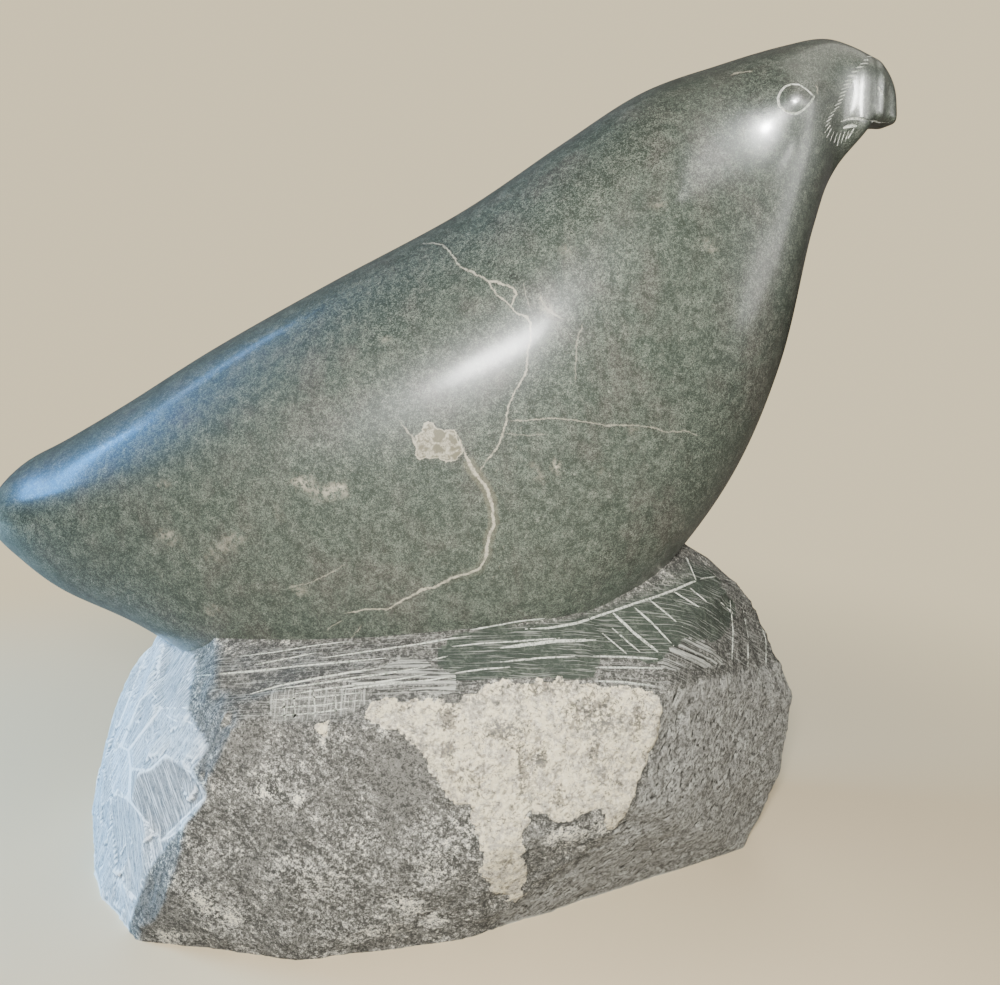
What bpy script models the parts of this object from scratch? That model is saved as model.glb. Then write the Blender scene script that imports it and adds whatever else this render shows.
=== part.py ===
"""A bird of prey in polished green soapstone, carved in one piece with the rough block it grows out of.

Metres, +Z up. The bird faces +X and its middle plane is near y = 0. The origin is on the surface that the
carving stands on, below the middle of the carving's box.
"""

import math
from dataclasses import dataclass

import bmesh
import bpy
from mathutils import Matrix, Vector, noise
from mathutils.bvhtree import BVHTree

# The figure. Its pose and proportions are shares of its length from tail to beak, which starts at the
# tail and is measured up from the seat, the height at which the tail leaves the block.
FIGURE_LENGTH = 0.270
TAIL_OVERHANG = 0.025
RINGS_A_STATION = 3
RING_POINTS = 36

# The block, measured from the middle of its foot
BLOCK_LENGTH = 0.228
BLOCK_DEPTH = 0.130
SEAT_HEIGHT = 0.071
FOOT_TRIM = 0.0008
GRAIN_COARSE = 0.022
GRAIN_FINE = 0.009
ROUGH_COARSE = 0.0016
ROUGH_FINE = 0.0007
LONGEST_ROCK_EDGE = 0.0095

# The eye's cut ring, which comes to a point in front, on the swell of the cheek
EYE_CENTRE = (0.869, 0.593)
EYE_LENGTH = 0.0092
EYE_HEIGHT = 0.0080
EYE_CORNER = 0.0013
EYE_CUT_WIDTH = 0.0013
EYE_CUT_DEPTH = 0.0006
EYE_POINTS = 20
CHEEK_CENTRE = (0.893, 0.605)
CHEEK_SWELL = 0.0022
CHEEK_REACH = 0.0110

# The cut below the beak's edge, on each side, from behind the corner of the mouth to the throat
MOUTH_LINE = ((0.926, 0.575), (0.937, 0.580), (0.952, 0.581), (0.965, 0.578))
MOUTH_CUT_WIDTH = 0.0024
MOUTH_CUT_DEPTH = 0.0009
CUT_SIDES = 6
CUT_START = 0.4

STONE_COLOUR = (0.115, 0.135, 0.115, 1.0)
STONE_ROUGHNESS = 0.42


@dataclass(frozen=True)
class Station:
    """One slice of the figure: its top and bottom in the middle plane, and how wide and how full it is."""

    name: str
    back: tuple  # x and z of the slice's top, as shares of the figure's length
    belly: tuple  # x and z of its bottom
    half_width: float  # share of the figure's length
    widest: float  # how far down the slice it is widest, 0 at the back and 1 at the belly
    upper_fullness: float  # exponent of the curve above the widest place, 2 being an ellipse
    lower_fullness: float


TAIL_TIP = Station("tail tip", (0.000, 0.153), (0.000, 0.153), 0.000, 0.50, 2.0, 2.0)
BEAK_TIP = Station("beak front", (1.000, 0.600), (1.000, 0.600), 0.000, 0.50, 2.2, 3.4)
STATIONS = (
    TAIL_TIP,
    Station("tail end", (0.011, 0.185), (0.012, 0.129), 0.040, 0.50, 2.0, 2.0),
    Station("tail", (0.044, 0.217), (0.039, 0.102), 0.067, 0.48, 2.0, 2.0),
    Station("tail root", (0.093, 0.243), (0.087, 0.066), 0.089, 0.46, 2.0, 2.1),
    Station("wing tips", (0.163, 0.283), (0.164, 0.031), 0.113, 0.44, 2.0, 2.2),
    Station("rump", (0.267, 0.346), (0.285, -0.033), 0.140, 0.42, 2.0, 2.3),
    Station("wing", (0.396, 0.416), (0.452, -0.055), 0.162, 0.42, 2.1, 2.3),
    Station("back", (0.537, 0.489), (0.635, -0.026), 0.174, 0.42, 2.3, 2.3),
    Station("shoulder", (0.645, 0.559), (0.746, 0.071), 0.171, 0.42, 2.4, 2.2),
    Station("upper breast", (0.729, 0.611), (0.834, 0.189), 0.153, 0.44, 2.4, 2.1),
    Station("neck", (0.811, 0.640), (0.886, 0.318), 0.124, 0.45, 2.3, 2.1),
    Station("nape", (0.877, 0.659), (0.914, 0.459), 0.098, 0.45, 2.2, 2.0),
    Station("eye", (0.922, 0.666), (0.940, 0.537), 0.080, 0.46, 2.1, 2.0),
    Station("beak root", (0.963, 0.657), (0.963, 0.589), 0.055, 0.52, 2.3, 3.0),
    Station("beak", (0.982, 0.647), (0.984, 0.583), 0.046, 0.54, 2.4, 3.4),
    Station("beak edge", (0.993, 0.629), (0.997, 0.577), 0.030, 0.56, 2.4, 3.4),
    BEAK_TIP,
)
THROAT_CORNER = 13  # the belly line turns sharply here, from the throat into the flat below the beak

# Corners of the natural block, as shares of its length, its depth and the seat's height
NATURAL_CORNERS = (
    ("foot, left end", -0.485, -0.170, 0.00),
    ("foot, left front", -0.372, -0.400, 0.00),
    ("foot, front", -0.160, -0.470, 0.00),
    ("foot, front by the ridge", 0.030, -0.400, 0.00),
    ("foot, right front", 0.254, -0.190, 0.00),
    ("foot, right end", 0.430, -0.020, 0.00),
    ("foot, right back", 0.430, 0.200, 0.00),
    ("foot, back right", 0.260, 0.400, 0.00),
    ("foot, back", -0.100, 0.462, 0.00),
    ("foot, back left", -0.380, 0.350, 0.00),
    ("foot, left back", -0.490, 0.080, 0.00),
    ("belly, left end", -0.545, -0.080, 0.32),
    ("belly, left front", -0.360, -0.450, 0.20),
    ("belly, front", -0.180, -0.508, 0.42),
    ("belly, front by the ridge", 0.080, -0.477, 0.50),
    ("ridge, middle", 0.250, -0.400, 0.60),
    ("belly, right end", 0.500, 0.030, 0.72),
    ("belly, right end, low", 0.485, 0.010, 0.34),
    ("belly, right back", 0.450, 0.280, 0.60),
    ("belly, back right", 0.220, 0.470, 0.56),
    ("belly, back", -0.180, 0.492, 0.50),
    ("belly, left back", -0.450, 0.300, 0.42),
    ("shoulder, left", -0.465, -0.040, 0.84),
    ("shoulder, left front", -0.280, -0.450, 0.98),
    ("shoulder, front", -0.050, -0.470, 1.08),
    ("shoulder, ridge", 0.275, -0.370, 1.08),
    ("shoulder, right", 0.440, 0.030, 1.16),
    ("shoulder, back right", 0.280, 0.380, 1.08),
    ("shoulder, back", -0.150, 0.430, 1.00),
    ("shoulder, left back", -0.400, 0.220, 0.86),
    ("top, left", -0.330, -0.100, 1.30),
    ("top, left back", -0.300, 0.150, 1.30),
    ("top, right", 0.350, -0.060, 1.52),
    ("top, right back", 0.330, 0.160, 1.44),
)


@dataclass(frozen=True)
class Dressing:
    """A flat that the mason's chisel or rasp has left on the block."""

    name: str
    through: tuple  # a point on it, as shares of the block's length, its depth and the seat's height
    heading: float  # degrees, the way it faces seen from above, 0 along +X and -90 towards the front
    lift: float  # degrees, how far it faces up


DRESSINGS = (
    Dressing("front ledge below the wing", (-0.167, -0.369, 1.100), -105, 64),
    Dressing("front ledge, middle", (0.018, -0.373, 1.148), -95, 54),
    Dressing("front ledge below the breast", (0.202, -0.346, 1.197), -80, 24),
    Dressing("back ledge below the wing", (-0.167, 0.369, 1.080), 103, 62),
    Dressing("back ledge, middle", (0.030, 0.372, 1.140), 94, 50),
    Dressing("back ledge below the breast", (0.202, 0.346, 1.190), 82, 30),
    Dressing("slope before the breast", (0.371, 0.000, 1.355), -25, 56),
    Dressing("slope before the breast, back", (0.360, 0.120, 1.325), 34, 46),
    Dressing("right end, upper chisel face", (0.430, 0.000, 1.165), -25, 26),
    Dressing("left end, top", (-0.419, -0.020, 0.890), -150, 34),
    Dressing("left end, upper right", (-0.345, -0.310, 0.830), -134, 24),
    Dressing("left end, middle left", (-0.450, -0.054, 0.634), -152, 15),
    Dressing("left end, middle right", (-0.340, -0.370, 0.620), -134, 13),
    Dressing("left end, lower left", (-0.502, -0.080, 0.360), -160, 26),
    Dressing("left end, at the foot", (-0.518, -0.100, 0.200), -163, -5),
    Dressing("left end, lower middle", (-0.442, -0.250, 0.220), -141, 6),
    Dressing("left end, lower right", (-0.385, -0.400, 0.160), -129, 3),
    Dressing("left end, back", (-0.450, 0.160, 0.600), 158, 14),
)


def clear_scene():
    """Removes whatever the file holds, so that the part starts from nothing."""
    for found in list(bpy.data.objects):
        bpy.data.objects.remove(found, do_unlink=True)


def link(name, mesh):
    """Puts a mesh in the scene as a named object."""
    made = bpy.data.objects.new(name, mesh)
    bpy.context.scene.collection.objects.link(made)
    return made


def mesh_of(name, bm):
    """Turns a bmesh into a mesh and frees it."""
    mesh = bpy.data.meshes.new(name)
    bm.to_mesh(mesh)
    bm.free()
    return mesh


def figure_point(share_x, share_z, y=0.0):
    """A place on the figure, from shares of its length."""
    tail = -FIGURE_LENGTH / 2
    return Vector((tail + share_x * FIGURE_LENGTH, y, SEAT_HEIGHT + share_z * FIGURE_LENGTH))


def block_point(share_x, share_y, share_z):
    """A place on the block, from shares of its length, its depth and the seat's height."""
    middle = -FIGURE_LENGTH / 2 + TAIL_OVERHANG + BLOCK_LENGTH / 2
    return Vector((middle + share_x * BLOCK_LENGTH, share_y * BLOCK_DEPTH, share_z * SEAT_HEIGHT))


def between(before, start, end, after, share):
    """A smooth value between start and end that also heeds their neighbours."""
    slope_start = (end - before) / 2
    slope_end = (after - start) / 2
    s2 = share * share
    s3 = s2 * share
    return (
        (2 * s3 - 3 * s2 + 1) * start
        + (s3 - 2 * s2 + share) * slope_start
        + (3 * s2 - 2 * s3) * end
        + (s3 - s2) * slope_end
    )


def columns_of(station):
    """A station's numbers: back x and z, belly x and z, half width, widest place and the two fullnesses."""
    return (
        *station.back,
        *station.belly,
        station.half_width,
        station.widest,
        station.upper_fullness,
        station.lower_fullness,
    )


def past_the_tip(station):
    """What follows a tip when the surface runs round it: the next slice's own numbers, seen upside down."""
    return (
        *station.belly,
        *station.back,
        -station.half_width,
        station.widest,
        station.upper_fullness,
        station.lower_fullness,
    )


def slice_numbers(index, share):
    """The numbers of the slice that lies a share of the way from one station to the next."""
    rows = [past_the_tip(STATIONS[1])]
    rows += [columns_of(station) for station in STATIONS]
    rows.append(past_the_tip(STATIONS[-2]))
    first = index + 1
    before, start, end, after = rows[first - 1], rows[first], rows[first + 1], rows[first + 2]
    found = []
    for column in range(len(start)):
        b, s, e, a = before[column], start[column], end[column], after[column]
        if column in (2, 3):  # the belly line has a corner at the throat
            if index + 1 == THROAT_CORNER:
                a = 2 * e - s
            if index == THROAT_CORNER:
                b = 2 * s - e
        found.append(between(b, s, e, a, share))
    return found


def cheek(point):
    """How far the head swells sideways at a point, most where the eye sits."""
    away = point - figure_point(*CHEEK_CENTRE)
    away.y = 0
    return CHEEK_SWELL * math.exp(-((away.length / CHEEK_REACH) ** 2))


def slice_ring(index, share):
    """The points of one slice, from the back down the front side, along the belly and up the far side."""
    back_x, back_z, belly_x, belly_z, half_width, widest, upper, lower = slice_numbers(index, share)
    back = figure_point(back_x, back_z)
    belly = figure_point(belly_x, belly_z)
    ring = []
    for step in range(RING_POINTS):
        angle = math.tau * step / RING_POINTS
        down = math.cos(angle)
        out = math.sin(angle)
        fullness = upper if down > 0 else lower
        reach = abs(down) ** (2 / fullness)
        if down > 0:
            along = widest * (1 - reach)
        else:
            along = widest + (1 - widest) * reach
        side = math.copysign(abs(out) ** (2 / fullness), out)
        point = back.lerp(belly, along)
        point.y = -side * (half_width * FIGURE_LENGTH + cheek(point))
        ring.append(point)
    return ring


def make_figure():
    """The bird's body, head and beak as one loft from the tail tip to the beak's front."""
    bm = bmesh.new()
    tail = bm.verts.new(figure_point(*TAIL_TIP.back))
    rings = []
    for index in range(len(STATIONS) - 1):
        for part in range(RINGS_A_STATION):
            if index == 0 and part == 0:
                continue
            ring = slice_ring(index, part / RINGS_A_STATION)
            rings.append([bm.verts.new(point) for point in ring])
    beak = bm.verts.new(figure_point(*BEAK_TIP.back))
    for step in range(RING_POINTS):
        following = (step + 1) % RING_POINTS
        bm.faces.new((tail, rings[0][following], rings[0][step]))
        bm.faces.new((beak, rings[-1][step], rings[-1][following]))
        for near, far in zip(rings, rings[1:]):
            bm.faces.new((near[step], near[following], far[following], far[step]))
    bmesh.ops.recalc_face_normals(bm, faces=bm.faces)
    return link("figure", mesh_of("figure", bm))


def on_the_side(figure, profile, side):
    """The places where points of the profile meet the figure's surface, with the surface's direction."""
    depsgraph = bpy.context.evaluated_depsgraph_get()
    surface = BVHTree.FromObject(figure, depsgraph)
    found = []
    for point in profile:
        start = Vector((point.x, side * FIGURE_LENGTH, point.z))
        place, outwards, _, _ = surface.ray_cast(start, Vector((0, -side, 0)))
        if place is not None:
            found.append((place, outwards))
    return found


def make_cutter(name, places, width, depth, closed):
    """A bar laid along places on the surface, which cuts a rounded groove of a width and a depth.

    An open groove starts finer than it ends.
    """
    bm = bmesh.new()
    rings = []
    full_radius = (width * width / 4 + depth * depth) / (2 * depth)
    for index, (place, outwards) in enumerate(places):
        before = places[index - 1][0] if closed or index > 0 else place
        after = places[(index + 1) % len(places)][0] if closed or index < len(places) - 1 else place
        along = (after - before).normalized()
        across = along.cross(outwards).normalized()
        share = 1 if closed else CUT_START + (1 - CUT_START) * index / (len(places) - 1)
        radius = share * full_radius
        centre = place + outwards * (radius - share * depth)
        ring = []
        for step in range(CUT_SIDES):
            angle = math.tau * (step + 0.5) / CUT_SIDES
            ring.append(bm.verts.new(centre + radius * (math.cos(angle) * across + math.sin(angle) * outwards)))
        rings.append(ring)
    if closed:
        rings.append(rings[0])
    for near, far in zip(rings, rings[1:]):
        for step in range(CUT_SIDES):
            following = (step + 1) % CUT_SIDES
            bm.faces.new((near[step], near[following], far[following], far[step]))
    if not closed:
        bm.faces.new(rings[0])
        bm.faces.new(rings[-1])
    bmesh.ops.recalc_face_normals(bm, faces=bm.faces)
    return link(name, mesh_of(name, bm))


def eye_outline():
    """The eye's outline in the profile, an oval drawn out to a corner in front."""
    centre = figure_point(*EYE_CENTRE)
    points = []
    for step in range(EYE_POINTS):
        angle = math.tau * step / EYE_POINTS
        forward = EYE_LENGTH / 2 * math.cos(angle)
        up = EYE_HEIGHT / 2 * math.sin(angle)
        if step == 0:
            forward += EYE_CORNER
        points.append(centre + Vector((forward, 0, up)))
    return points


def carve_head(figure):
    """Cuts the ring of each eye and the line below the beak's edge on each side."""
    mouth = [figure_point(*place) for place in MOUTH_LINE]
    cutters = []
    for side in (-1, 1):
        ring = on_the_side(figure, eye_outline(), side)
        line = on_the_side(figure, mouth, side)
        cutters.append(make_cutter("eye cut", ring, EYE_CUT_WIDTH, EYE_CUT_DEPTH, closed=True))
        cutters.append(make_cutter("mouth cut", line, MOUTH_CUT_WIDTH, MOUTH_CUT_DEPTH, closed=False))
    for cutter in cutters:
        join(figure, cutter, "DIFFERENCE")


def break_long_edges(bm, longest):
    """Splits edges until none is longer than asked, keeping the faces triangles."""
    bmesh.ops.triangulate(bm, faces=bm.faces)
    while True:
        long_edges = [edge for edge in bm.edges if edge.calc_length() > longest]
        if not long_edges:
            return
        bmesh.ops.subdivide_edges(bm, edges=long_edges, cuts=1)
        bmesh.ops.triangulate(bm, faces=bm.faces)


def roughen(bm):
    """Pushes the block's points in and out as weathered stone, coarse lumps and fine ones."""
    bm.normal_update()
    moves = []
    for vert in bm.verts:
        coarse = noise.noise(vert.co / GRAIN_COARSE) * ROUGH_COARSE
        fine = noise.noise(vert.co / GRAIN_FINE) * ROUGH_FINE
        moves.append(vert.normal * (coarse + fine))
    for vert, move in zip(bm.verts, moves):
        vert.co += move


def facing(heading, lift):
    """The unit vector that points along a compass heading and up by a lift, both in degrees."""
    turn = math.radians(heading)
    rise = math.radians(lift)
    return Vector((math.cos(turn) * math.cos(rise), math.sin(turn) * math.cos(rise), math.sin(rise)))


def slice_off(bm, point, outwards):
    """Removes what lies outside a plane and closes the cut."""
    everything = bm.verts[:] + bm.edges[:] + bm.faces[:]
    cut = bmesh.ops.bisect_plane(bm, geom=everything, plane_co=point, plane_no=outwards, clear_outer=True)
    edges = [item for item in cut["geom_cut"] if isinstance(item, bmesh.types.BMEdge)]
    if edges:
        bmesh.ops.triangle_fill(bm, edges=edges, use_beauty=True, normal=outwards)


def make_block():
    """The natural block, roughened, then dressed with flat chisel cuts and stood on a flat foot."""
    bm = bmesh.new()
    for _, x, y, z in NATURAL_CORNERS:
        bm.verts.new(block_point(x, y, z))
    hull = bmesh.ops.convex_hull(bm, input=bm.verts)
    inside = [item for item in hull["geom_interior"] if isinstance(item, bmesh.types.BMVert)]
    bmesh.ops.delete(bm, geom=inside, context="VERTS")
    break_long_edges(bm, LONGEST_ROCK_EDGE)
    roughen(bm)
    for cut in DRESSINGS:
        slice_off(bm, block_point(*cut.through), facing(cut.heading, cut.lift))
    slice_off(bm, Vector((0, 0, FOOT_TRIM)), Vector((0, 0, -1)))
    bmesh.ops.triangulate(bm, faces=bm.faces)
    bmesh.ops.recalc_face_normals(bm, faces=bm.faces)
    return link("block", mesh_of("block", bm))


def join(target, tool, operation):
    """Unites a tool with the target, or cuts it away, and removes the tool."""
    boolean = target.modifiers.new(operation.lower(), "BOOLEAN")
    boolean.operation = operation
    boolean.solver = "EXACT"
    boolean.object = tool
    depsgraph = bpy.context.evaluated_depsgraph_get()
    joined = bpy.data.meshes.new_from_object(target.evaluated_get(depsgraph))
    target.modifiers.clear()
    target.data = joined
    bpy.data.objects.remove(tool, do_unlink=True)


def stand_at_origin(piece):
    """Moves the piece so that it stands on z = 0 with its box centred on the origin."""
    corners = [vert.co for vert in piece.data.vertices]
    low = [min(corner[axis] for corner in corners) for axis in range(3)]
    high = [max(corner[axis] for corner in corners) for axis in range(3)]
    shift = Vector((-(low[0] + high[0]) / 2, -(low[1] + high[1]) / 2, -low[2]))
    piece.data.transform(Matrix.Translation(shift))


def soapstone():
    """The polished green-grey stone."""
    material = bpy.data.materials.new("green soapstone")
    material.use_nodes = True
    shader = material.node_tree.nodes["Principled BSDF"]
    shader.inputs["Base Color"].default_value = STONE_COLOUR
    shader.inputs["Roughness"].default_value = STONE_ROUGHNESS
    shader.inputs["Metallic"].default_value = 0.0
    return material


def main():
    """Builds the carving."""
    clear_scene()
    figure = make_figure()
    carve_head(figure)
    carving = make_block()
    join(carving, figure, "UNION")
    stand_at_origin(carving)
    carving.name = "bird_on_block"
    carving.data.name = "bird_on_block"
    carving.data.materials.clear()
    carving.data.materials.append(soapstone())
    carving.data.shade_smooth()
    carving.data.set_sharp_from_angle(angle=math.radians(32))


main()
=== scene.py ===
"""A bird of prey in polished green soapstone, carved in one piece with the rough block it grows out of.

Metres, +Z up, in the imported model's frame: the bird faces +X and the side in the photograph faces -Y.
"""

import logging
import math
from dataclasses import dataclass, field
from enum import Enum, IntEnum

import bmesh
import bpy
import numpy as np
from mathutils import Euler, Matrix, Vector, noise
from mathutils.bvhtree import BVHTree


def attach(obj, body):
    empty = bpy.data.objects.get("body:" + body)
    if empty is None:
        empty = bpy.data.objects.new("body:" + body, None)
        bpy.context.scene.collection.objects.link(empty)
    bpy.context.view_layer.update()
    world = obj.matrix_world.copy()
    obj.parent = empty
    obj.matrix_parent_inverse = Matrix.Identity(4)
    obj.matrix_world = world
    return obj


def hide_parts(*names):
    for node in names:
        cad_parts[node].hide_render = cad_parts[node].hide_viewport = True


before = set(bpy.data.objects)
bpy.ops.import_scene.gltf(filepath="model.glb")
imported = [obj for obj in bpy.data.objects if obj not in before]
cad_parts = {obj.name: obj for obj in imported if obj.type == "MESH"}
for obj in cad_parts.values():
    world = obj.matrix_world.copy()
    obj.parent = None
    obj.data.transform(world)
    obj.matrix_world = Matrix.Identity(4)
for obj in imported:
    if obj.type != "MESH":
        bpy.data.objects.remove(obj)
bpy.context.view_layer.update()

Array = np.ndarray
Object = bpy.types.Object
Socket = bpy.types.NodeSocket
Pair = tuple[float, float]
Triple = tuple[float, float, float]

LOG = logging.getLogger("carving")
NODE = "bird_on_block"
SEED = 7
MM = 0.001
# The block's places are rounded to a tenth of a micrometre, so that each run cuts the same solid
PLACE_DIGITS = 7


class Finish(IntEnum):
    """The carving's finishes, in the order of its material slots."""

    POLISHED = 0
    ROUGH = 1
    SCRATCHED = 2

    def material_name(self) -> str:
        """The name of the finish's material."""
        return f"{self.name.lower()}_soapstone"


class Combining(Enum):
    """What one solid does to another."""

    UNITES = "UNION"
    CUTS = "DIFFERENCE"


@dataclass(frozen=True)
class PhotoCamera:
    """The photograph's camera, which ties a pixel of its frame to a line of sight."""

    place: Triple = (0.022, -0.319, 0.1855)
    tilt: float = 78.3
    focal: float = 1050.0
    width: int = 1000
    height: int = 985

    def pixels(self, points: Array) -> tuple[Array, Array]:
        """Where points fall in the photograph.

        Args:
            points: One row of x, y and z for each point.

        Returns:
            One row of pixel coordinates for each point, and how far each point is in front of the camera.
        """
        pitch = math.radians(90.0 - self.tilt)
        away = points - np.array(self.place)
        ahead = away[:, 1] * math.cos(pitch) - away[:, 2] * math.sin(pitch)
        up = away[:, 1] * math.sin(pitch) + away[:, 2] * math.cos(pitch)
        across = self.width / 2 + self.focal * away[:, 0] / ahead
        down = self.height / 2 - self.focal * up / ahead
        return np.stack([across, down], axis=1), ahead

    def sight(self, pixel: Pair) -> tuple[Vector, Vector]:
        """The line of sight through a pixel.

        Args:
            pixel: Its place across and down the photograph.

        Returns:
            The camera's place and the unit vector along the line.
        """
        pitch = math.radians(90.0 - self.tilt)
        across = (pixel[0] - self.width / 2) / self.focal
        down = (pixel[1] - self.height / 2) / self.focal
        ahead = math.cos(pitch) - down * math.sin(pitch)
        rise = -math.sin(pitch) - down * math.cos(pitch)
        return Vector(self.place), Vector((across, ahead, rise)).normalized()

    def on(self, surface: BVHTree, pixel: Pair) -> tuple[Vector, Vector] | None:
        """The place on a surface that shows at a pixel and its direction there, or None for a miss."""
        start, along = self.sight(pixel)
        place, outward, _, _ = surface.ray_cast(start, along)
        return None if place is None else (place, outward)

    def make(self) -> Object:
        """Makes the scene's camera.

        Returns:
            The camera.
        """
        lens = bpy.data.cameras.new("camera")
        lens.sensor_width = 36.0
        lens.lens = self.focal / self.width * lens.sensor_width
        camera = bpy.data.objects.new("camera", lens)
        camera.location = self.place
        camera.rotation_euler = (math.radians(self.tilt), 0.0, 0.0)
        bpy.context.scene.collection.objects.link(camera)
        bpy.context.scene.camera = camera
        return camera


def inside_distance(places: Array, outline: tuple) -> Array:
    """How far places are inside an outline.

    Args:
        places: One row of two coordinates for each place.
        outline: The outline's corners in order.

    Returns:
        The distance to the outline, above 0 inside it and below 0 outside.
    """
    corners = np.array(outline, dtype=float)
    nearest = np.full(len(places), 1e9)
    inside = np.zeros(len(places), dtype=bool)
    for start, end in zip(corners, np.roll(corners, -1, axis=0)):
        run = end - start
        share = np.clip(((places - start) @ run) / (run @ run), 0, 1)
        nearest = np.minimum(nearest, np.linalg.norm(places - start - share[:, None] * run, axis=1))
        crosses = (places[:, 1] < start[1]) != (places[:, 1] < end[1])
        reach = start[0] + (places[:, 1] - start[1]) / (end[1] - start[1] + 1e-12) * run[0]
        inside ^= crosses & (places[:, 0] < reach)
    return np.where(inside, nearest, -nearest)


def across_distance(places: Array, line: tuple) -> tuple[Array, Array]:
    """How far places are to the side of an open line.

    Args:
        places: One row of two coordinates for each place.
        line: The line's points in order.

    Returns:
        The distance, above 0 on the line's one side and below 0 on the other, and how far along the line
        the nearest place on it is, from 0 to 1.
    """
    corners = np.array(line, dtype=float)
    runs = np.diff(corners, axis=0)
    lengths = np.linalg.norm(runs, axis=1)
    before = np.concatenate([[0.0], np.cumsum(lengths)])
    nearest = np.full(len(places), 1e9)
    signed = np.zeros(len(places))
    along = np.zeros(len(places))
    for index, (start, run) in enumerate(zip(corners, runs)):
        share = np.clip(((places - start) @ run) / (run @ run), 0, 1)
        away = places - start - share[:, None] * run
        distance = np.linalg.norm(away, axis=1)
        closer = distance < nearest
        side = np.sign(run[0] * away[:, 1] - run[1] * away[:, 0])
        nearest = np.where(closer, distance, nearest)
        signed = np.where(closer, distance * side, signed)
        along = np.where(closer, (before[index] + share * lengths[index]) / before[-1], along)
    return signed, along


def lumps(points: Array, size: float, seed: int) -> Array:
    """Smooth noise between about -1 and 1 at each point, for how far apart its lumps are."""
    shift = Vector((3.1, 7.7, 5.3)) * (seed + SEED)
    return np.array([noise.noise(Vector(point) / size + shift) for point in points])


def waves(points: Array, measure: Pair, seed: int) -> Array:
    """Smooth relief at points, from how far apart its lumps are and how high they rise."""
    size, rise = measure
    return lumps(points, size, seed) * rise


def chips(points: Array, size: float, seed: int) -> Array:
    """Heights of a surface that is broken into flat chips, each leaning its own way.

    Args:
        points: One row of x, y and z for each point.
        size: How far apart the chips are.
        seed: Which pattern it is.

    Returns:
        A height for each point, in metres, for chips that lean by up to about one in one.
    """
    shift = Vector((5.9, 2.3, 8.1)) * (seed + SEED)
    heights = np.empty(len(points))
    for index, point in enumerate(points):
        place = Vector(point) / size + shift
        cell = noise.voronoi(place)[1][0]
        heights[index] = (place - cell).dot(noise.noise_vector(cell * 5.3)) * size
    return heights


def smooth_step(values: Array, low: float, high: float) -> Array:
    """A soft step from 0 at the low value to 1 at the high one."""
    share = np.clip((values - low) / (high - low), 0, 1)
    return share * share * (3 - 2 * share)


def link(name: str, mesh: bpy.types.Mesh) -> Object:
    """Puts a mesh in the scene as a named object."""
    made = bpy.data.objects.new(name, mesh)
    bpy.context.scene.collection.objects.link(made)
    return made


def coat(mesh: bpy.types.Mesh, finish: Finish) -> None:
    """Gives a mesh the carving's materials, in the order of Finish, and shows one of them all over."""
    mesh.materials.clear()
    for each in Finish:
        mesh.materials.append(bpy.data.materials[each.material_name()])
    mesh.polygons.foreach_set("material_index", [int(finish)] * len(mesh.polygons))


def face_outwards(piece: Object) -> None:
    """Turns a closed piece's faces so that they point outwards."""
    bm = bmesh.new()
    bm.from_mesh(piece.data)
    bmesh.ops.recalc_face_normals(bm, faces=bm.faces)
    bm.to_mesh(piece.data)
    bm.free()


def closed_solid(name: str, rings: Array, columns: int, ends: list, finish: Finish) -> Object:
    """Makes a closed solid from rings of vertices, each end drawn together in one more vertex.

    Args:
        name: The object's name.
        rings: One row of x, y and z for each vertex, ring after ring.
        columns: How many vertices each ring has.
        ends: The vertex before the first ring and the one after the last.
        finish: Which of the materials it has.

    Returns:
        The object.
    """
    count = len(rings) // columns
    faces = []
    for row in range(count - 1):
        near, far = row * columns, (row + 1) * columns
        for column in range(columns):
            following = (column + 1) % columns
            faces.append((near + column, near + following, far + following, far + column))
    first, last = count * columns, count * columns + 1
    last_ring = (count - 1) * columns
    for column in range(columns):
        following = (column + 1) % columns
        faces.append((first, following, column))
        faces.append((last, last_ring + column, last_ring + following))
    mesh = bpy.data.meshes.new(name)
    mesh.from_pydata(np.concatenate([rings, ends]).tolist(), [], faces)
    mesh.update()
    coat(mesh, finish)
    made = link(name, mesh)
    face_outwards(made)
    return made


def combine(target: Object, tool: Object, what: Combining) -> None:
    """Unites a solid with the target, or cuts it away, and removes the solid.

    Args:
        target: What is changed.
        tool: The other solid.
        what: What the other solid does to the target.
    """
    boolean = target.modifiers.new("combine", "BOOLEAN")
    boolean.operation = what.value
    boolean.solver = "MANIFOLD"
    boolean.object = tool
    boolean.material_mode = "INDEX"
    depsgraph = bpy.context.evaluated_depsgraph_get()
    joined = bpy.data.meshes.new_from_object(target.evaluated_get(depsgraph))
    target.modifiers.clear()
    target.data = joined
    bpy.data.objects.remove(tool, do_unlink=True)


def points_of(mesh: bpy.types.Mesh) -> Array:
    """A mesh's vertices, one row of x, y and z for each."""
    points = np.empty(len(mesh.vertices) * 3)
    mesh.vertices.foreach_get("co", points)
    return points.reshape(-1, 3)


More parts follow.
